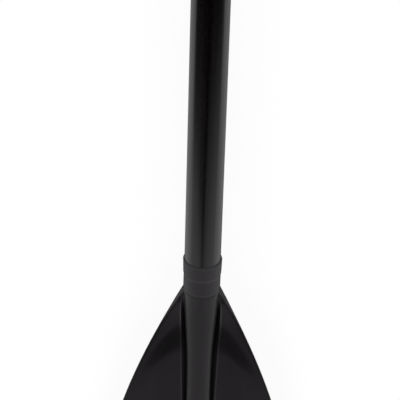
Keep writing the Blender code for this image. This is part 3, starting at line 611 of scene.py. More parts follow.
def wing_swell(d, y):
    """Half the thickness of the wing, without the groove."""
    crest, width = groove_edge(d), wing_half_width(d)
    span = max(width - RIM_WIDTH - crest, LEAST_SPAN)
    root = smooth_step(1.0 - d / WIDEST_AT)
    inward = 1.0 - smooth_step((y - crest) / (THINS_OVER * span))
    beside = smooth_step((y - spine_half_width(d)) / FLARE_GROWS_OVER)
    flare = FLARE_RISE * math.exp(-((d / FLARE_LENGTH) ** 2))
    flare *= 1.0 - FLARE_EDGE_FALL * (y / width) ** FLARE_EDGE_POWER
    flare *= FLARE_AT_SPINE + (1.0 - FLARE_AT_SPINE) * beside
    return HALF_RIM + (HALF_WING - HALF_RIM) * root * inward + flare


print(f"root {(HALF_WING + FLARE_RISE) * 2000:.0f} mm thick, rim {HALF_RIM * 2000:.1f} mm")

# %% Shape of the grooves
GROOVE_DEPTH = 0.0031
GROOVE_DEEPENS_FROM = 0.003
GROOVE_DEEPENS_OVER = 0.032
GROOVE_UNDER_SPINE = 0.0004
GROOVE_WALL_POWER = 0.9
BEAD_RISE = 0.00025
BEAD_OUT = 0.0003
BEAD_WIDTH = 0.0009


def wing_heights(d, y):
    """Height of the top and depth of the underside, both from the blade's middle surface."""
    crest, fade, swell = groove_edge(d), 1.0 - spine_taper(d), wing_swell(d, y)
    bottom = spine_half_width(d) - GROOVE_UNDER_SPINE
    climb = min(max((y - bottom) / (crest - bottom), 0.0), 1.0)
    deep = GROOVE_DEPTH * fade * smooth_step((d - GROOVE_DEEPENS_FROM) / GROOVE_DEEPENS_OVER)
    bead = BEAD_RISE * fade * math.exp(-(((y - crest - BEAD_OUT) / BEAD_WIDTH) ** 2))
    return swell - deep * (1.0 - climb ** GROOVE_WALL_POWER) + bead, swell


print(f"grooves {GROOVE_DEPTH * 1000:.1f} mm deep")

# %% Rows across a wing
GROOVE_LIP = 0.0007
CREST_WIDTH = 0.004
UNDER_SPINE = 0.0020
EDGE_ROUND = 0.0030
EDGE_ROUND_SHARE = 0.42
LEAST_STEP = 0.000005


def rim_round(d):
    return min(EDGE_ROUND, EDGE_ROUND_SHARE * wing_half_width(d))


def section_rows(d):
    """Places across one wing, from the middle line to the start of the rounded rim."""
    width, crest, edge = wing_half_width(d), groove_edge(d), rim_round(d)
    inner = max(spine_half_width(d) - UNDER_SPINE, 0.0)
    # Each mark is a place and the number of rows up to the next mark
    marks = [(0.0, 2), (inner, 12), (crest - GROOVE_LIP, 8), (crest + GROOVE_LIP, 8),
             (crest + CREST_WIDTH, 40), (width - edge, 0)]
    planned = []
    for (start, count), (stop, _) in zip(marks, marks[1:]):
        planned += [start + (stop - start) * i / count for i in range(count)]
    planned.append(width - edge)
    places, least = [], -1.0
    for i, y in enumerate(planned):
        # Rows never cross, also where the wing is too narrow for all the marks
        y = max(min(y, width - edge - 2 * LEAST_STEP * (len(planned) - i)), least + LEAST_STEP)
        least = y
        places.append(y)
    return places


print("rows across a wing:", len(section_rows(0.0)))

# %% Wing sections
EDGE_STEPS = 7


def wing_half_section(d, thin=1.0):
    """Rows of (y, height of the top, depth of the underside) from the middle line to the rim."""
    width, edge = wing_half_width(d), rim_round(d)
    rows = []
    for y in section_rows(d):
        top, under = wing_heights(d, y)
        rows.append((max(y, 0.0), top * thin, under * thin))
    for i in range(1, EDGE_STEPS + 1):
        angle = math.pi / 2 * i / EDGE_STEPS
        shrink = thin * math.cos(angle)
        rows.append((width - edge + edge * math.sin(angle), top * shrink, under * shrink))
    return rows


def wing_ring(d, thin=1.0):
    """One closed section through both wings."""
    rows = wing_half_section(d, thin)
    middle = AXIS_Z + blade_sag(d)
    x = X_WING - d
    top = [(x, y, middle - camber(y) + wing_lift(d, y) + up) for y, up, _ in rows]
    under = [(x, y, middle - camber(y) + wing_lift(d, y) - down) for y, _, down in rows[:-1]]
    far_top = [(x, -y, z) for _, y, z in reversed(top[1:])]
    far_under = [(x, -y, z) for _, y, z in under[1:]]
    return far_top + top + list(reversed(under)) + far_under


print("points in a section:", len(wing_ring(0.0)))

# %% Mesh helpers
SHARP_DEGREES = 35.0
WELD_DISTANCE = 1e-6


def mesh_piece(name, points, faces, sharp=SHARP_DEGREES):
    mesh = bpy.data.meshes.new(name)
    mesh.from_pydata(points, [], faces)
    shape = bmesh.new()
    shape.from_mesh(mesh)
    bmesh.ops.remove_doubles(shape, verts=shape.verts, dist=WELD_DISTANCE)
    bmesh.ops.recalc_face_normals(shape, faces=shape.faces)
    shape.to_mesh(mesh)
    shape.free()
    mesh.shade_smooth()
    mesh.set_sharp_from_angle(angle=math.radians(sharp))
    piece = bpy.data.objects.new(name, mesh)
    bpy.context.scene.collection.objects.link(piece)
    return piece


def loft(name, rings, sharp=50.0):
    """Skin a row of closed rings and close both ends."""
    size = len(rings[0])
    points = [point for ring in rings for point in ring]
    faces = [tuple(range(size))]
    for start in range(0, (len(rings) - 1) * size, size):
        for i in range(size):
            j = (i + 1) % size
            faces.append((start + i, start + j, start + size + j, start + size + i))
    faces.append(tuple((len(rings) - 1) * size + i for i in range(size)))
    return mesh_piece(name, points, faces, sharp)


def dress(piece, material, body, node):
    """Give a piece its material, let it ride on a body and stand for a CAD node."""
    piece.data.materials.clear()
    piece.data.materials.append(material)
    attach(piece, body)
    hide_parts(node)
    return piece


print("mesh helpers ready")

# %% Wings
BODY_RINGS, BODY_RING_POWER = 120, 1.15
TIP_RINGS = 64
TIP_ROUND, TIP_ROUND_STEPS, TIP_THINNEST = 0.0015, 5, 0.05

body_stations = [WIDEST_AT * (i / BODY_RINGS) ** BODY_RING_POWER for i in range(BODY_RINGS)]
tip_run = BLADE_LENGTH - WIDEST_AT
tip_stations = [
    WIDEST_AT + tip_run * math.sin(math.pi / 2 * i / TIP_RINGS) for i in range(TIP_RINGS - 1)
]
wing_rings = [wing_ring(d) for d in body_stations + tip_stations]
for i in range(TIP_ROUND_STEPS + 1):
    angle = math.pi / 2 * i / TIP_ROUND_STEPS
    last = BLADE_LENGTH - TIP_ROUND * (1.0 - math.sin(angle))
    wing_rings.append(wing_ring(last, max(math.cos(angle), TIP_THINNEST)))
blade_wings = dress(loft("blade_wings", wing_rings), WING_PLASTIC, "lower_half", "blade")
print("wings:", len(blade_wings.data.polygons), "faces")

# %% Smooth strip beside the spine
STRIP_OUT = 0.0012
STRIP_END = TAPER_START + 0.1

blade_wings.data.materials.append(SPINE_PLASTIC)
for face in blade_wings.data.polygons:
    d = max(X_WING - face.center.x, 0.0)
    smooth_strip = abs(face.center.y) < groove_edge(d) + STRIP_OUT and d < STRIP_END
    face.material_index = 1 if smooth_strip else 0
print("faces in the strip:", sum(face.material_index for face in blade_wings.data.polygons))

# %% [markdown]
# ### Spine, neck and spigot
# The spine starts as round as the tube, sinks into the wings and grows squarer on the way, and its
# other end is the spigot inside the tube. A curve with a bevel keeps one round section. So the spine
# is lofted too, from superellipses: an exponent of two gives an ellipse, and more than two gives
# fuller shoulders. The shoulder under the sleeve has two close rings, which hold its edge.

# %% Spine sections
NECK_R = 0.01435
SHOULDER_R = 0.01522
ELLIPSE = 2.0
SPINE_FULLNESS = 2.8
SPINE_FILLS_OVER = 0.060
SPINE_UNDER = 0.235
SPINE_FALL_POWER = 1.1
SPINE_GROWTH, SPINE_GROWS_OVER = 0.0005, 0.150
SPINE_DIP, SPINE_DIPS_OVER = 0.0005, 0.02
SPINE_LIFT_START, SPINE_LIFT_LENGTH = 0.060, 0.160


def oval_ring(x, half_width, up, down, middle, fullness=ELLIPSE, sides=128):
    ring = []
    for i in range(sides):
        angle = 2 * math.pi * i / sides
        aside = math.copysign(abs(math.cos(angle)) ** (2 / fullness), math.cos(angle))
        height = math.copysign(abs(math.sin(angle)) ** (2 / fullness), math.sin(angle))
        ring.append((x, half_width * aside, middle + height * (up if height > 0 else down)))
    return ring


def round_ring(x, radius):
    return oval_ring(x, radius, radius, radius, AXIS_Z)


def spine_ring(d):
    growth = SPINE_GROWTH * smooth_step(d / SPINE_GROWS_OVER)
    dip = SPINE_DIP * (1.0 - math.exp(-d / SPINE_DIPS_OVER))
    up = SHOULDER_R * (1.0 - d / SPINE_TOP) ** SPINE_FALL_POWER + growth - dip
    down = SHOULDER_R * max(1.0 - d / SPINE_UNDER, 0.0) ** SPINE_FALL_POWER + growth
    fullness = ELLIPSE + (SPINE_FULLNESS - ELLIPSE) * smooth_step(d / SPINE_FILLS_OVER)
    lift = LIFT_RISE * smooth_step((d - SPINE_LIFT_START) / SPINE_LIFT_LENGTH) * lift_end(d)
    middle = AXIS_Z + blade_sag(d) + lift
    return oval_ring(X_WING - d, spine_half_width(d), up, down, middle, fullness)


print("points in a spine section:", len(spine_ring(0.0)))

# %% Spine, neck and spigot
SPIGOT_LENGTH, SPIGOT_CHAMFER = 0.055, 0.0015
SHOULDER_FACE, SHOULDER_EASE, SHOULDER_HOLD = 0.00088, 0.00010, 0.00070
SPINE_RINGS, SPINE_RING_POWER = 90, 1.2

spine_rings = [
    round_ring(X_TUBE + SPIGOT_LENGTH, FIT_R - SPIGOT_CHAMFER),
    round_ring(X_TUBE + SPIGOT_LENGTH - SPIGOT_CHAMFER, FIT_R),
    round_ring(X_TUBE - GAP, FIT_R),
    round_ring(X_TUBE - GAP, NECK_R),
    round_ring(X_WING + SHOULDER_FACE, NECK_R),
    round_ring(X_WING + SHOULDER_FACE, SHOULDER_R - SHOULDER_EASE),
    round_ring(X_WING + SHOULDER_FACE - SHOULDER_EASE, SHOULDER_R),
    round_ring(X_WING + SHOULDER_HOLD, SHOULDER_R),
]
for i in range(SPINE_RINGS + 1):
    spine_rings.append(spine_ring(SPINE_TOP * (i / SPINE_RINGS) ** SPINE_RING_POWER))
blade_spine = dress(loft("blade_spine", spine_rings), SPINE_PLASTIC, "lower_half", "blade")
print("spine:", len(blade_spine.data.polygons), "faces")

# %% [markdown]
# ## Neck sleeve
# The sleeve has shrunk on to the tube's end and the blade's neck. It bridges the small step between
# them in a soft curve, has a small lip at each end and is not perfectly round. A Shrinkwrap
# modifier could pull a cylinder on to the two pieces. Turning a profile round the axis gives the
# same skin with full control of the step, and two slow waves make it uneven.

# %% Turning helper
PLACE_ALONG = {
    "X": lambda along, u, v: (along, v, u),
    "Y": lambda along, u, v: (u, along, v),
    "Z": lambda along, u, v: (u, v, along),
}


def turned(name, profile, axis="X", centre=(0.0, 0.0, AXIS_Z), segments=128, closed=True, reach=None,
           sharp=SHARP_DEGREES):
    """Turn a profile once round an axis. reach(along, radius, angle) may change the radius."""
    place = PLACE_ALONG[axis]
    rows = len(profile)
    points, faces = [], []
    for k in range(segments):
        angle = 2 * math.pi * k / segments
        for along, radius in profile:
            out = reach(along, radius, angle) if reach else radius
            x, y, z = place(along, out * math.cos(angle), out * math.sin(angle))
            points.append((x + centre[0], y + centre[1], z + centre[2]))
        for i in range(rows if closed else rows - 1):
            j = (i + 1) % rows
            far = (k + 1) % segments
            faces.append((k * rows + i, k * rows + j, far * rows + j, far * rows + i))
    return mesh_piece(name, points, faces, sharp)


print("turning helper ready")

# %% Profile of the neck sleeve
SLEEVE_WALL = 0.00075
SLEEVE_INSET = 0.00005
SLEEVE_ROWS = 40
STEP_SHARE, STEP_OVER, EASE_OVER = 0.6, 0.0026, 0.0130
STEP_BACK = 0.0011
LIP_FACE = 0.0002
# Each lip point is a distance from the sleeve's end and a change of the outside radius
LOWER_LIP = ((0.0, -0.00022), (0.0006, -0.00011), (0.0011, -0.00002))
UPPER_LIP = ((0.0016, 0.00012), (0.0013, 0.00015), (0.0011, 0.00008), (0.0009, -0.00006))
# The upper end thins out to a feather edge, at these heights over the tube
FEATHER = ((0.0002, 0.00034), (0.0, 0.00015), (0.0001, SLEEVE_INSET))
PLAIN_LOW, PLAIN_HIGH = SLEEVE_LOW + 0.0014, SLEEVE_HIGH - 0.0018

neck_out = NECK_R + GAP + SLEEVE_WALL
tube_out = TUBE_R + GAP + SLEEVE_WALL
sleeve_line = [(SLEEVE_LOW, NECK_R + LIP_FACE)]
sleeve_line += [(SLEEVE_LOW + inward, neck_out + rise) for inward, rise in LOWER_LIP]
for i in range(SLEEVE_ROWS + 1):
    along = PLAIN_LOW + (PLAIN_HIGH - PLAIN_LOW) * i / SLEEVE_ROWS
    past = along - X_TUBE
    bridge = STEP_SHARE * smooth_step(past / STEP_OVER) + (1.0 - STEP_SHARE) * smooth_step(past / EASE_OVER)
    sleeve_line.append((along, neck_out + (tube_out - neck_out) * bridge))
sleeve_line += [(SLEEVE_HIGH - inward, tube_out + rise) for inward, rise in UPPER_LIP]
sleeve_line += [(SLEEVE_HIGH - inward, TUBE_R + height) for inward, height in FEATHER]
sleeve_line += [
    (X_TUBE - GAP, TUBE_R + SLEEVE_INSET),
    (X_TUBE - STEP_BACK, NECK_R + SLEEVE_INSET),
    (SLEEVE_LOW, NECK_R + SLEEVE_INSET),
]
print("points in the profile:", len(sleeve_line))

# %% Neck sleeve
INSIDE_WITHIN = 0.0005
SHRINK_DEPTH = 0.00004
# Share of each wave, its turns round the axis, its rate along it and where it starts
SHRINK_WAVES = ((1.0, 3, 90, 0.0), (0.6, 5, -160, 1.0))


def sleeve_reach(along, radius, angle):
    """Leave the inside round, and let two slow waves shrink the outside unevenly."""
    if radius < TUBE_R + INSIDE_WITHIN and along > X_TUBE or radius < NECK_R + INSIDE_WITHIN:
        return radius
    slow = sum(share * math.sin(turns * angle + rate * along + start)
               for share, turns, rate, start in SHRINK_WAVES)
    return radius + SHRINK_DEPTH * slow


neck_sleeve = turned("neck_sleeve_fine", sleeve_line, reach=sleeve_reach, segments=144, sharp=60.0)
dress(neck_sleeve, SLEEVE_PLASTIC, "lower_half", "neck_sleeve")
print("sleeve:", len(neck_sleeve.data.polygons), "faces")

# %% [markdown]
# ## Shaft tubes
# The shaft is two drawn tubes with a hole for the snap button in the upper one. A cylinder with a
# Bevel modifier would do. Here a profile is turned, with its corners rounded first, because real
# edges are never quite sharp and a rounded edge is what catches the light. The hole is cut by a
# Boolean, which is applied at once so that the piece keeps a plain mesh.

# %% Helper: rounded corners
EASE_LIMIT, FLAT_LIMIT = 0.48, 0.495
FLAT_FROM = 1.5


def eased(corners, steps=5):
    """Round the corners of a closed outline given as (along, radius, rounding)."""
    points = []
    for i, (along, radius, ease) in enumerate(corners):
        here = Vector((along, radius))
        before = Vector(corners[i - 1][:2]) - here
        after = Vector(corners[(i + 1) % len(corners)][:2]) - here
        if ease <= 0.0:
            points.append((along, radius))
            continue
        back, ahead = before.normalized(), after.normalized()
        start = here + back * min(ease, before.length * EASE_LIMIT)
        end = here + ahead * min(ease, after.length * EASE_LIMIT)
        curve = [start * (1 - t) ** 2 + here * (2 * t * (1 - t)) + end * t * t
                 for t in (k / steps for k in range(steps + 1))]
        # One more point on each side keeps the long flat stretches truly flat in the shading
        curve.insert(0, here + back * min(ease * FLAT_FROM, before.length * FLAT_LIMIT))
        curve.append(here + ahead * min(ease * FLAT_FROM, after.length * FLAT_LIMIT))
        points += [(spot.x, spot.y) for spot in curve]
    return points


print("rounding helper ready")

# %% Helper: cut away
def cut_away(piece, cutters, sharp=SHARP_DEGREES):
    """Cut the cutters out of a piece and delete them."""
    for cutter in cutters:
        step = piece.modifiers.new(cutter.name, "BOOLEAN")
        step.operation = "DIFFERENCE"
        step.solver = "EXACT"
        step.object = cutter
    bpy.context.view_layer.update()
    finished = piece.evaluated_get(bpy.context.evaluated_depsgraph_get())
    mesh = bpy.data.meshes.new_from_object(finished)
    piece.modifiers.clear()
    piece.data = mesh
    mesh.shade_smooth()
    mesh.set_sharp_from_angle(angle=math.radians(sharp))
    for cutter in cutters:
        bpy.data.objects.remove(cutter, do_unlink=True)
    return piece


print("cutting helper ready")

# %% Shaft tubes
BORE_EASE, TUBE_EASE = 0.0002, 0.0004
X_BUTTON = X_UPPER + 0.020
HOLE_R = 0.0038
HOLE_HALF_DEPTH = 0.02
TUBE_HOLE_UP = 0.030


def tube(name, low, high):
    corners = [(low, BORE_R, BORE_EASE), (low, TUBE_R, TUBE_EASE),
               (high, TUBE_R, TUBE_EASE), (high, BORE_R, BORE_EASE)]
    return turned(name, eased(corners, 4), segments=160)


def button_cutter(name, up):
    line = [(-HOLE_HALF_DEPTH, 0.0), (-HOLE_HALF_DEPTH, HOLE_R), (HOLE_HALF_DEPTH, HOLE_R),
            (HOLE_HALF_DEPTH, 0.0)]
    return turned(name, line, "Z", (X_BUTTON, 0.0, AXIS_Z + up), segments=48, closed=False)


lower_tube = dress(tube("lower_tube", X_TUBE, X_JOINT), LACQUER, "lower_half", "lower_shaft")
upper_tube = tube("upper_tube", X_UPPER, X_HANDLE)
cut_away(upper_tube, [button_cutter("button_hole", TUBE_HOLE_UP)])
dress(upper_tube, LACQUER, "upper_half", "upper_shaft")
print("tubes:", len(lower_tube.data.polygons), "and", len(upper_tube.data.polygons), "faces")

# %% [markdown]
# ## Ferrule
# The ferrule joins the two halves: an inner tube with a shoulder ring, fixed in the lower tube. The
# upper tube slides over its tapered end until the snap button springs up through the hole. It could
# be three cylinders joined together. One turned profile has no hidden faces where they would meet,
# and its corners are rounded by the same helper as the tubes'.

# %% Ferrule
FERRULE_BORE_R = FIT_R - 0.002
FLANGE_R, FLANGE_EASE = TUBE_R + 0.0006, 0.0007
FERRULE_LOW, FERRULE_HIGH = X_JOINT - 0.070, X_UPPER + 0.110
FERRULE_EASE, FERRULE_END_EASE = 0.0002, 0.0012
LEAD_IN, LEAD_IN_DROP = 0.012, 0.0008
LEAD_IN_EASE, LEAD_END_EASE = 0.004, 0.0006
FERRULE_HOLE_UP = 0.025

flange_low, flange_high = X_JOINT + GAP, X_UPPER - GAP
ferrule_corners = [
    (FERRULE_LOW, FERRULE_BORE_R, FERRULE_EASE),
    (FERRULE_LOW, FIT_R, FERRULE_END_EASE),
    (flange_low, FIT_R, 0.0),
    (flange_low, FLANGE_R, FLANGE_EASE),
    (flange_high, FLANGE_R, FLANGE_EASE),
    (flange_high, FIT_R, FERRULE_EASE),
    (FERRULE_HIGH - LEAD_IN, FIT_R, LEAD_IN_EASE),
    (FERRULE_HIGH, FIT_R - LEAD_IN_DROP, LEAD_END_EASE),
    (FERRULE_HIGH, FERRULE_BORE_R, FERRULE_EASE),
]
ferrule = turned("ferrule_fine", eased(ferrule_corners), segments=128)
cut_away(ferrule, [button_cutter("ferrule_hole", FERRULE_HOLE_UP)])
dress(ferrule, FERRULE_PLASTIC, "lower_half", "ferrule")
print("ferrule:", len(ferrule.data.polygons), "faces")

# %% [markdown]
# ## Rivets
# Two blind rivets hold the ferrule in the lower tube: a low domed head outside, a shank through
# both walls and an upset tail inside. Spheres and cylinders could be stacked. A turned profile
# shows the whole rivet as one line from its tail to its head, and is mirrored for the other side.

# %% Rivets
X_RIVET = X_JOINT - 0.030
RIVET_SHANK_R, RIVET_TAIL_R, RIVET_TAIL_END_R = 0.00205, 0.0030, 0.0018
RIVET_HEAD_R, RIVET_HEAD_RISE, RIVET_HEAD_BASE = 0.0042, 0.0013, 0.0002
RIVET_HEAD_EASE = 0.0001
RIVET_TAIL, RIVET_TAIL_TAPER = 0.0024, 0.0012
DOME_STEPS = 12

rivet_seat = TUBE_R + GAP
rivet_inside = math.sqrt(FERRULE_BORE_R ** 2 - RIVET_TAIL_R ** 2) - GAP
rivet_line = [
    (rivet_inside - RIVET_TAIL, 0.0), (rivet_inside - RIVET_TAIL, RIVET_TAIL_END_R),
    (rivet_inside - RIVET_TAIL_TAPER, RIVET_TAIL_R), (rivet_inside, RIVET_TAIL_R),
    (rivet_inside, RIVET_SHANK_R), (rivet_seat, RIVET_SHANK_R),
    (rivet_seat, RIVET_HEAD_R - RIVET_HEAD_EASE),
]
for i in range(DOME_STEPS + 1):
    angle = math.pi / 2 * i / DOME_STEPS
    along = rivet_seat + RIVET_HEAD_BASE + RIVET_HEAD_RISE * math.sin(angle)
    rivet_line.append((along, RIVET_HEAD_R * math.cos(angle)))
for side, hand in ((1.0, "left"), (-1.0, "right")):
    line = [(side * along, radius) for along, radius in rivet_line]
    rivet = turned(f"rivet_{hand}", line, "Y", (X_RIVET, 0.0, AXIS_Z), segments=40, closed=False)
    dress(rivet, STEEL, "lower_half", f"ferrule_rivet_{hand}")
print("rivets: 2")

# %% [markdown]
# ## Snap button and spring
# The button locks the halves: a domed steel pin with a flange that rests inside the ferrule, pushed
# up by a bent leaf spring. The pin is turned. The leaf could be a strip with a Simple Deform bend,
# but that gives one bend only, so small rings follow its side view and are lofted.

# %% Snap button
BORE_SIDES = 40
BUTTON_R, BUTTON_OUT = 0.0035, 0.003
BUTTON_DOME, BUTTON_DOME_POWER = 0.00175, 0.6
BUTTON_FLANGE_R, BUTTON_FLANGE = 0.0044, 0.001
FLANGE_EDGE_IN, FLANGE_EDGE_UP = 0.0001, 0.0002

# The CAD bore has flat sides, so what goes inside it is placed by its smallest radius
FLAT_R = FERRULE_BORE_R * math.cos(math.pi / BORE_SIDES)
button_seat = math.sqrt(FLAT_R ** 2 - BUTTON_FLANGE_R ** 2) - GAP
button_foot = button_seat - BUTTON_FLANGE
button_top = TUBE_R + BUTTON_OUT
flange_face_r = BUTTON_FLANGE_R - FLANGE_EDGE_IN
button_line = [
    (button_foot, 0.0), (button_foot, flange_face_r), (button_foot + FLANGE_EDGE_UP, BUTTON_FLANGE_R),
    (button_seat - FLANGE_EDGE_UP, BUTTON_FLANGE_R), (button_seat, flange_face_r), (button_seat, BUTTON_R),
]
for i in range(DOME_STEPS + 1):
    angle = math.pi / 2 * i / DOME_STEPS
    along = button_top - BUTTON_DOME * (1.0 - math.sin(angle))
    button_line.append((along, BUTTON_R * math.cos(angle) ** BUTTON_DOME_POWER))
button = turned("snap_button_fine", button_line, "Z", (X_BUTTON, 0.0, AXIS_Z), segments=56, closed=False)
dress(button, STEEL, "snap_button", "snap_button")
print(f"button stands {BUTTON_OUT * 1000:.0f} mm out of the tube")

# %% Side view of the spring
SPRING_HALF, SPRING_THICK = 0.0045, 0.0009
LEAF_END, FOOT_START = 0.007, -0.012
BEND_AT, BEND_R, BEND_STEPS = -0.037, 0.003, 20
BEND_FROM, BEND_TURN = 1.5, 0.85
KNEE_AT, KNEE_RISE = -0.022, 0.0095

spring_low = -(math.sqrt(FLAT_R ** 2 - SPRING_HALF ** 2) - GAP) + SPRING_THICK / 2
spring_high = button_foot - GAP - SPRING_THICK / 2
spring_line = [(LEAF_END, spring_low), (FOOT_START, spring_low)]
for i in range(BEND_STEPS + 1):
    angle = math.pi * (BEND_FROM - BEND_TURN * i / BEND_STEPS)
    spring_line.append((BEND_AT + BEND_R * math.cos(angle), spring_low + BEND_R + BEND_R * math.sin(angle)))
spring_line += [(KNEE_AT, spring_low + KNEE_RISE), (-LEAF_END, spring_high), (LEAF_END, spring_high)]

# %% Spring
EDGE_IN, CORNER_IN = 0.94, 0.7
LEAF_SECTION = (
    (1, CORNER_IN), (EDGE_IN, 1), (-EDGE_IN, 1), (-1, CORNER_IN),
    (-1, -CORNER_IN), (-EDGE_IN, -1), (EDGE_IN, -1), (1, -CORNER_IN),
)

spring_rings = []
for i, (x, z) in enumerate(spring_line):
    ahead, behind = spring_line[min(i + 1, len(spring_line) - 1)], spring_line[max(i - 1, 0)]
    run = Vector((ahead[0] - behind[0], ahead[1] - behind[1])).normalized() * SPRING_THICK / 2
    spring_rings.append([
        (X_BUTTON + x - run.y * lift, SPRING_HALF * side, AXIS_Z + z + run.x * lift)
        for side, lift in LEAF_SECTION
    ])
spring = loft("snap_spring_leaf", spring_rings, sharp=30.0)
dress(spring, STEEL, "lower_half", "snap_spring")
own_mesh(spring)
print("spring:", len(spring.data.polygons), "faces")

# %% [markdown]
# ## Wear sleeve
# This moulded sleeve turns in the rowlock, and a flange at each end keeps the collar on it. It could
# be a cylinder with two rings. One turned profile gives the soft fillets between them, which are
# what shows that the piece was moulded.

# %% Wear sleeve
WEAR_LOW, WEAR_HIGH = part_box("wear_sleeve")[0][0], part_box("wear_sleeve")[1][0]
WEAR_R = TUBE_R + GAP + 0.0032
WEAR_FLANGE_R = WEAR_R + 0.0028
WEAR_FLANGE, WEAR_FLANGE_FOOT = 0.008, 0.0092
WEAR_BORE_EASE, WEAR_EASE, WEAR_FILLET = 0.0003, 0.0018, 0.0020

wear_corners = [
    (WEAR_LOW, TUBE_R + GAP, WEAR_BORE_EASE),
    (WEAR_LOW, WEAR_FLANGE_R, WEAR_EASE),
    (WEAR_LOW + WEAR_FLANGE, WEAR_FLANGE_R, WEAR_EASE),
    (WEAR_LOW + WEAR_FLANGE_FOOT, WEAR_R, WEAR_FILLET),
    (WEAR_HIGH - WEAR_FLANGE_FOOT, WEAR_R, WEAR_FILLET),
    (WEAR_HIGH - WEAR_FLANGE, WEAR_FLANGE_R, WEAR_EASE),
    (WEAR_HIGH, WEAR_FLANGE_R, WEAR_EASE),
    (WEAR_HIGH, TUBE_R + GAP, WEAR_BORE_EASE),
]
wear_sleeve = turned("rowlock_sleeve", eased(wear_corners, 7), segments=160)
dress(wear_sleeve, WEAR_PLASTIC, "upper_half", "wear_sleeve")
print("wear sleeve:", len(wear_sleeve.data.polygons), "faces")

# %% [markdown]
# ## Stop collar
# The collar is clamped round the wear sleeve in two halves and bears on the rowlock, so that the oar
# can't slide out. Each half could be drawn as a bent block. It is easier to turn the whole ring and
# cut away what is not wanted: the other half with the split, the screw holes, and the pockets for
# the screw heads above and for the nuts below.

# %% Collar sizes and cutters
COLLAR_LOW, COLLAR_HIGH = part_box("stop_collar_upper")[0][0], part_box("stop_collar_upper")[1][0]
COLLAR_MIDDLE = (COLLAR_LOW + COLLAR_HIGH) / 2
COLLAR_R = 0.036
COLLAR_BORE_EASE, COLLAR_EASE = 0.0006, 0.0045
SPLIT_HALF = 0.001
SPLIT_SIDE, SPLIT_PAST = 0.08, 0.01
SCREW_Y = 0.0275
SCREW_SEAT = 0.014
SCREW_HOLE_R, HEAD_POCKET_R, CUT_REACH = 0.0028, 0.00455, 0.05
NUT_HALF = 0.004
NUT_POCKET_R = (NUT_HALF + GAP) / math.cos(math.pi / 6)


def box_piece(name, low, high):
    corners = [(x, y, z) for x in (low[0], high[0]) for y in (low[1], high[1]) for z in (low[2], high[2])]
    faces = [(0, 1, 3, 2), (4, 6, 7, 5), (0, 4, 5, 1), (2, 3, 7, 6), (0, 2, 6, 4), (1, 5, 7, 3)]
    return mesh_piece(name, corners, faces)


def post(name, radius, low, high, y, sides):
    line = [(low, 0.0), (low, radius), (high, radius), (high, 0.0)]
    return turned(name, line, "Z", (COLLAR_MIDDLE, y, AXIS_Z), sides, closed=False)


print(f"collar {(COLLAR_HIGH - COLLAR_LOW) * 1000:.0f} mm wide, {COLLAR_R * 2000:.0f} mm in diameter")

# %% Collar halves
collar_corners = [
    (COLLAR_LOW, WEAR_R + GAP, COLLAR_BORE_EASE),
    (COLLAR_LOW, COLLAR_R, COLLAR_EASE),
    (COLLAR_HIGH, COLLAR_R, COLLAR_EASE),
    (COLLAR_HIGH, WEAR_R + GAP, COLLAR_BORE_EASE),
]
# Name, side of the split, and the radius and number of sides of the two pockets
halves = (("upper", 1.0, HEAD_POCKET_R, 64), ("lower", -1.0, NUT_POCKET_R, 6))
for name, side, pocket_r, pocket_sides in halves:
    half = turned(f"collar_half_{name}", eased(collar_corners, 8), segments=160)
    bottom, top = sorted((side * SPLIT_HALF, -side * SPLIT_SIDE))
    cutters = [box_piece("split", (COLLAR_LOW - SPLIT_PAST, -SPLIT_SIDE, AXIS_Z + bottom),
                         (COLLAR_HIGH + SPLIT_PAST, SPLIT_SIDE, AXIS_Z + top))]
    low, high = sorted((side * SCREW_SEAT, side * CUT_REACH))
    for y in (SCREW_Y, -SCREW_Y):
        cutters.append(post("hole", SCREW_HOLE_R, -CUT_REACH, CUT_REACH, y, sides=40))
        cutters.append(post("pocket", pocket_r, low, high, y, pocket_sides))
    cut_away(half, cutters)
    dress(half, COLLAR_PLASTIC, "stop_collar", f"stop_collar_{name}")
print("collar halves: 2")

# %% [markdown]
# ## Screws and nuts
# Two socket-head screws and their nuts clamp the collar. A thread could be a true helix, but at this
# size nobody can tell it from a row of rings, which a turned profile gives at once. The same turning
# makes the knurled head and the six-sided nut, because the helper lets a function change the radius
# with the angle.

# %% Profiles of screw and nut
HEAD_R, HEAD_HEIGHT, HEAD_EASE = 0.00425, 0.005, 0.00015
HEAD_FOOT, HEAD_SIDE = 0.0006, 0.0010
# Each point of the head's rounded top is a distance below it and a radius
HEAD_TOP = ((0.0004, HEAD_R), (0.0001, 0.0040), (0.0, 0.0037), (0.0, 0.0))
THREAD_R, THREAD_ROOT_R, THREAD_TURNS = 0.0025, 0.0021, 26
SCREW_TIP_R, THREAD_FROM, THREAD_CLEAR = 0.0019, 0.0004, 0.004
THREAD_FLANK, PLAIN_SHANK = 0.0005, 0.003
NUT_HEIGHT, SCREW_PAST_NUT = 0.004, 0.0015
NUT_BORE_R, NUT_FACE_R, NUT_CORNER_R, NUT_CHAMFER = 0.0028, 0.0039, 0.0047, 0.0004

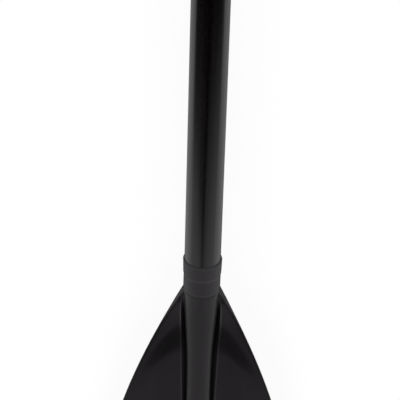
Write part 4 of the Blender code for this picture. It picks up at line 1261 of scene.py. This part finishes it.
screw_top = SCREW_SEAT + GAP + HEAD_HEIGHT
screw_end = -SCREW_SEAT - GAP - NUT_HEIGHT - SCREW_PAST_NUT
screw_line = [(screw_end, 0.0), (screw_end, SCREW_TIP_R)]
for i in range(THREAD_TURNS):
    low = screw_end + THREAD_FROM + (SCREW_SEAT - screw_end - THREAD_CLEAR) * i / THREAD_TURNS
    screw_line += [(low, THREAD_ROOT_R), (low + THREAD_FLANK, THREAD_R)]
screw_line += [
    (SCREW_SEAT - PLAIN_SHANK, THREAD_R), (SCREW_SEAT + GAP, THREAD_R),
    (SCREW_SEAT + GAP, HEAD_R - HEAD_EASE), (SCREW_SEAT + HEAD_FOOT, HEAD_R),
    (SCREW_SEAT + HEAD_SIDE, HEAD_R), (screw_top - HEAD_SIDE, HEAD_R),
]
screw_line += [(screw_top - below, radius) for below, radius in HEAD_TOP]
nut_low, nut_high = -SCREW_SEAT - GAP - NUT_HEIGHT, -SCREW_SEAT - GAP
nut_line = [
    (nut_low, NUT_BORE_R), (nut_low, NUT_FACE_R), (nut_low + NUT_CHAMFER, NUT_CORNER_R),
    (nut_high - NUT_CHAMFER, NUT_CORNER_R), (nut_high, NUT_FACE_R), (nut_high, NUT_BORE_R),
]
print(f"screws {(screw_top - screw_end) * 1000:.1f} mm long")

# %% Screws and nuts
HEX_STEP = math.pi / 3
KNURLS, KNURL_DEPTH, KNURL_MARGIN = 36, 0.00012, 0.0008
SOCKET_HALF, SOCKET_DEPTH, SOCKET_PAST = 0.002, 0.0025, 0.003


def knurled(along, radius, angle):
    on_side = SCREW_SEAT + KNURL_MARGIN < along < screw_top - KNURL_MARGIN
    if radius > HEAD_R - HEAD_EASE and on_side:
        return radius - KNURL_DEPTH * (1.0 - math.cos(KNURLS * angle))
    return radius


def hexagon(along, radius, angle):
    if radius <= NUT_BORE_R:
        return radius
    off = (angle % HEX_STEP) - HEX_STEP / 2
    return min(radius, NUT_HALF / math.cos(off))


for hand, y in (("left", SCREW_Y), ("right", -SCREW_Y)):
    spot = (COLLAR_MIDDLE, y, AXIS_Z)
    screw = turned(f"collar_bolt_{hand}", screw_line, "Z", spot, segments=144, closed=False, reach=knurled)
    socket_r = SOCKET_HALF / math.cos(math.pi / 6)
    socket = post("socket", socket_r, screw_top - SOCKET_DEPTH, screw_top + SOCKET_PAST, y, sides=6)
    cut_away(screw, [socket], sharp=30.0)
    dress(screw, STEEL, "stop_collar", f"collar_screw_{hand}")
    nut = turned(f"collar_hex_nut_{hand}", nut_line, "Z", spot, segments=96, reach=hexagon, sharp=20.0)
    dress(nut, STEEL, "stop_collar", f"collar_nut_{hand}")
print("screws and nuts: 2 each")

# %% [markdown]
# ## Hand grip
# The grip is a rubber sleeve with a guard at its inner end and ten rounded grooves for the fingers.
# An Array modifier could repeat one groove. A loop in the profile does the same, and the whole grip
# stays one turned mesh. The tread is too fine for the mesh and comes from the rubber's bump.

# %% Hand grip
GRIP_LOW, GRIP_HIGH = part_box("hand_grip")[0][0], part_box("hand_grip")[1][0]
GRIP_R, GUARD_R = 0.0178, 0.0205
GUARD_EASE, GUARD_EASE_STEPS = 0.0018, 6
GUARD_WIDTH, GUARD_SLOPE, GUARD_SLOPE_STEPS = 0.0048, 0.0044, 8
FINGER_GROOVES, FINGER_STEPS = 10, 12
FINGER_LOW, FINGER_HIGH = GRIP_LOW + 0.017, GRIP_HIGH - 0.010
FINGER_DEPTH, FINGER_SHARE, FINGER_POWER = 0.0009, 0.42, 1.4
# Each point of the rounded outer end is a distance from it and a drop of the radius
GRIP_END = ((0.0012, 0.0), (0.0004, 0.0003), (0.0, 0.0010))

grip_line = [(GRIP_LOW, TUBE_R + GAP), (GRIP_LOW, GUARD_R - GUARD_EASE)]
for i in range(1, GUARD_EASE_STEPS + 1):
    angle = math.pi / 2 * i / GUARD_EASE_STEPS
    along = GRIP_LOW + GUARD_EASE * (1 - math.cos(angle))
    grip_line.append((along, GUARD_R - GUARD_EASE * (1 - math.sin(angle))))
for i in range(GUARD_SLOPE_STEPS + 1):
    t = i / GUARD_SLOPE_STEPS
    along = GRIP_LOW + GUARD_WIDTH + GUARD_SLOPE * t
    grip_line.append((along, GUARD_R + (GRIP_R - GUARD_R) * smooth_step(t)))
pitch = (FINGER_HIGH - FINGER_LOW) / FINGER_GROOVES
for i in range(FINGER_GROOVES):
    for k in range(FINGER_STEPS + 1):
        t = k / FINGER_STEPS
        dip = FINGER_DEPTH * math.sin(math.pi * t) ** FINGER_POWER
        grip_line.append((FINGER_LOW + pitch * (i + FINGER_SHARE * t), GRIP_R - dip))
grip_line += [(GRIP_HIGH - inward, GRIP_R - fall) for inward, fall in GRIP_END]
grip_line.append((GRIP_HIGH, TUBE_R + GAP))
grip = dress(turned("ribbed_grip", grip_line, segments=144), RUBBER, "upper_half", "hand_grip")
print("grip:", len(grip.data.polygons), "faces")

# %% [markdown]
# ## End plug
# A rubber plug closes the tube behind the grip, with a shallow ring moulded into its flat end. The
# ring could be a bump, but it is seen at an angle and needs real edges, so it is four points in the
# turned profile.

# %% End plug
OAR_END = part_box("grip_end_plug")[1][0]
PLUG_R, PLUG_DEPTH = 0.019, 0.025
PLUG_EASE, PLUG_RIM_EASE = 0.0034, 0.0010
PLUG_TIP_EASE, PLUG_SEAT_EASE, RING_EASE = 0.0018, 0.0003, 0.0003
RING_DEPTH = 0.0005
RING_RADII = (0.0115, 0.0111, 0.0101, 0.0097)

plug_seat = X_HANDLE + GAP
plug_corners = [
    (X_HANDLE - PLUG_DEPTH, 0.0, 0.0), (X_HANDLE - PLUG_DEPTH, FIT_R, PLUG_TIP_EASE),
    (plug_seat, FIT_R, PLUG_SEAT_EASE), (plug_seat, PLUG_R, PLUG_RIM_EASE), (OAR_END, PLUG_R, PLUG_EASE),
]
for radius, sunk in zip(RING_RADII, (0.0, RING_DEPTH, RING_DEPTH, 0.0)):
    plug_corners.append((OAR_END - sunk, radius, RING_EASE))
plug_corners.append((OAR_END, 0.0, 0.0))
plug = turned("end_plug", eased(plug_corners, 8), segments=128, closed=False)
dress(plug, PLUG_RUBBER, "upper_half", "grip_end_plug")
print("plug:", len(plug.data.polygons), "faces")

# %% [markdown]
# ## Pieces inside the tubes
# The blade's cross pin and the two foam plugs are hidden in the tubes. Finer meshes would never be
# seen, and their CAD shapes are right as they are, so they only get their materials.

# %% Materials for the hidden nodes
for node, material in (("blade_pin", STEEL), ("lower_float_plug", FOAM), ("upper_float_plug", FOAM)):
    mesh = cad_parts[node].data
    mesh.materials.clear()
    mesh.materials.append(material)
print("hidden nodes: 3")

# %% [markdown]
# ## Floor
# The photograph has a pure white ground, and the glossy tube mirrors it along both its edges. A
# white floor could be lit until it clips, but that much light would wash out the black oar. So the
# floor shows itself white to the camera and to reflections by its own glow, and stays a plain matt
# surface for all other light. Ambient occlusion dims the glow near the oar as a soft shadow.

# %% Floor
FLOOR_HALF = 20
FLOOR_GREY = (0.80, 0.80, 0.80, 1.0)
PURE_WHITE = (1.0, 1.0, 1.0, 1.0)
SHADOW_REACH, SHADOW_SAMPLES = 0.12, 8
SHADOW_FULL, SHADOW_NONE = 0.64, 0.98
SEEN_GLOW, MIRRORED_GLOW = (0.96, 1.01), (0.0, 0.92)

h = FLOOR_HALF
floor_mesh = bpy.data.meshes.new("floor")
floor_mesh.from_pydata([(-h, -h, 0), (h, -h, 0), (h, h, 0), (-h, h, 0)], [], [(0, 1, 2, 3)])
floor = bpy.data.objects.new("floor", floor_mesh)
bpy.context.scene.collection.objects.link(floor)
floor_material = bpy.data.materials.new("white_floor")
floor_material.use_nodes = True
floor_mesh.materials.append(floor_material)
print("floor ready")

# %% Glow of the floor
tree = floor_material.node_tree
tree.nodes.remove(tree.nodes["Principled BSDF"])
near = add_node(tree, "ShaderNodeAmbientOcclusion", {"Distance": SHADOW_REACH}, samples=SHADOW_SAMPLES)


def floor_glow(least, most):
    """A white glow that falls from most to least where the oar is near."""
    glow = add_node(tree, "ShaderNodeEmission", {"Color": PURE_WHITE})
    ends = {"From Min": SHADOW_FULL, "From Max": SHADOW_NONE, "To Min": least, "To Max": most}
    dim = add_node(tree, "ShaderNodeMapRange", ends)
    tree.links.new(near.outputs["AO"], dim.inputs["Value"])
    tree.links.new(dim.outputs["Result"], glow.inputs["Strength"])
    return glow.outputs[0]


def choose(tree, factor, first, second):
    """The second shader where the factor is 1, else the first."""
    mix = add_node(tree, "ShaderNodeMixShader")
    tree.links.new(factor, mix.inputs["Fac"])
    tree.links.new(first, mix.inputs[1])
    tree.links.new(second, mix.inputs[2])
    return mix.outputs[0]


ray = add_node(tree, "ShaderNodeLightPath")
bounced = add_node(tree, "ShaderNodeMath", operation="MAXIMUM")
tree.links.new(ray.outputs["Is Glossy Ray"], bounced.inputs[0])
tree.links.new(ray.outputs["Is Transmission Ray"], bounced.inputs[1])
matt = add_node(tree, "ShaderNodeBsdfDiffuse", {"Color": FLOOR_GREY}).outputs[0]
seen = choose(tree, ray.outputs["Is Camera Ray"], matt, floor_glow(*SEEN_GLOW))
mirrored = choose(tree, bounced.outputs[0], seen, floor_glow(*MIRRORED_GLOW))
tree.links.new(mirrored, tree.nodes["Material Output"].inputs["Surface"])
print("floor glow ready")

# %% [markdown]
# ## Light
# The photograph was lit softly from beyond the blade: the tube's crown is dark near the handle and
# grows paler towards the blade, and the wings reflect a bright field with an arched edge. Area lamps
# could do this, but their edges would show in the gloss. So the world itself is painted by
# direction, in smooth steps: X tells how far a direction leans to the handle, Y to a side, Z up.

# %% Directions of the sky
world = bpy.data.worlds.new("soft_studio")
world.use_nodes = True
bpy.context.scene.world = world
tree = world.node_tree
sky = add_node(tree, "ShaderNodeSeparateXYZ")
tree.links.new(add_node(tree, "ShaderNodeTexCoord").outputs["Generated"], sky.inputs["Vector"])
sideways = add_node(tree, "ShaderNodeMath", operation="ABSOLUTE")
tree.links.new(sky.outputs["Y"], sideways.inputs[0])
to_handle, to_left, to_sky = sky.outputs["X"], sky.outputs["Y"], sky.outputs["Z"]
to_side = sideways.outputs[0]
print("world", world.name)

# %% Helpers for the sky
def soft_edge(value, low, high, dark=0.0, bright=1.0):
    """Rise smoothly from dark to bright while the value goes from low to high."""
    ends = {"From Min": low, "From Max": high, "To Min": dark, "To Max": bright}
    ramp = add_node(tree, "ShaderNodeMapRange", ends, interpolation_type="SMOOTHSTEP")
    tree.links.new(value, ramp.inputs["Value"])
    return ramp.outputs["Result"]


def mixed(factor, first, second):
    mix = add_node(tree, "ShaderNodeMix", data_type="FLOAT")
    tree.links.new(factor, mix.inputs["Factor"])
    tree.links.new(first, mix.inputs["A"])
    tree.links.new(second, mix.inputs["B"])
    return mix.outputs["Result"]


def joined(operation, first, second):
    node = add_node(tree, "ShaderNodeMath", operation=operation)
    tree.links.new(first, node.inputs[0])
    tree.links.new(second, node.inputs[1])
    return node.outputs[0]


print("sky helpers ready")

# %% Bright field beyond the blade
LEFT_CURVE, RIGHT_CURVE = 0.075, 0.085

left_way = sum_of(tree, to_handle, -1.0, to_side, LEFT_CURVE)
right_way = sum_of(tree, to_handle, -1.0, to_side, RIGHT_CURVE)
left_glow = soft_edge(left_way, low=0.47, high=0.60, bright=0.16)
left_main = soft_edge(left_way, low=0.575, high=0.635, bright=0.66)
left_field = joined("ADD", left_glow, left_main)
right_field = soft_edge(right_way, low=0.51, high=0.68, dark=0.02, bright=0.86)
over_blade = mixed(soft_edge(to_left, low=-0.06, high=0.06), right_field, left_field)
print("field beyond the blade ready")

# %% Dark seam over the shaft, and light from the other sides
low_seam = soft_edge(to_side, low=0.03, high=0.20, dark=0.35)
high_seam = soft_edge(to_side, low=0.03, high=0.20, dark=0.76)
seam = mixed(soft_edge(left_way, low=0.555, high=0.605), low_seam, high_seam)
behind_camera = soft_edge(to_handle, low=-0.28, high=0.06, bright=0.50)
beside = soft_edge(to_side, low=0.42, high=0.66)
beside_shaft = joined("MULTIPLY", beside, soft_edge(to_handle, low=-0.34, high=-0.18, bright=0.40))
horizon = soft_edge(to_sky, low=0.0, high=0.22, dark=0.30, bright=0.0)
around = joined("ADD", joined("ADD", behind_camera, beside_shaft), horizon)
field = joined("ADD", joined("MULTIPLY", over_blade, seam), around)
print("seam and side light ready")

# %% World shader
backdrop = tree.nodes["Background"]
backdrop.inputs["Color"].default_value = PURE_WHITE
backdrop.inputs["Strength"].default_value = 1.0
soft = add_node(tree, "ShaderNodeBackground", {"Color": PURE_WHITE})
tree.links.new(field, soft.inputs["Strength"])
seen_by = add_node(tree, "ShaderNodeLightPath").outputs["Is Camera Ray"]
light = choose(tree, seen_by, soft.outputs[0], backdrop.outputs[0])
tree.links.new(light, tree.nodes["World Output"].inputs["Surface"])
bpy.context.scene.view_settings.view_transform = "Standard"
print("light ready")
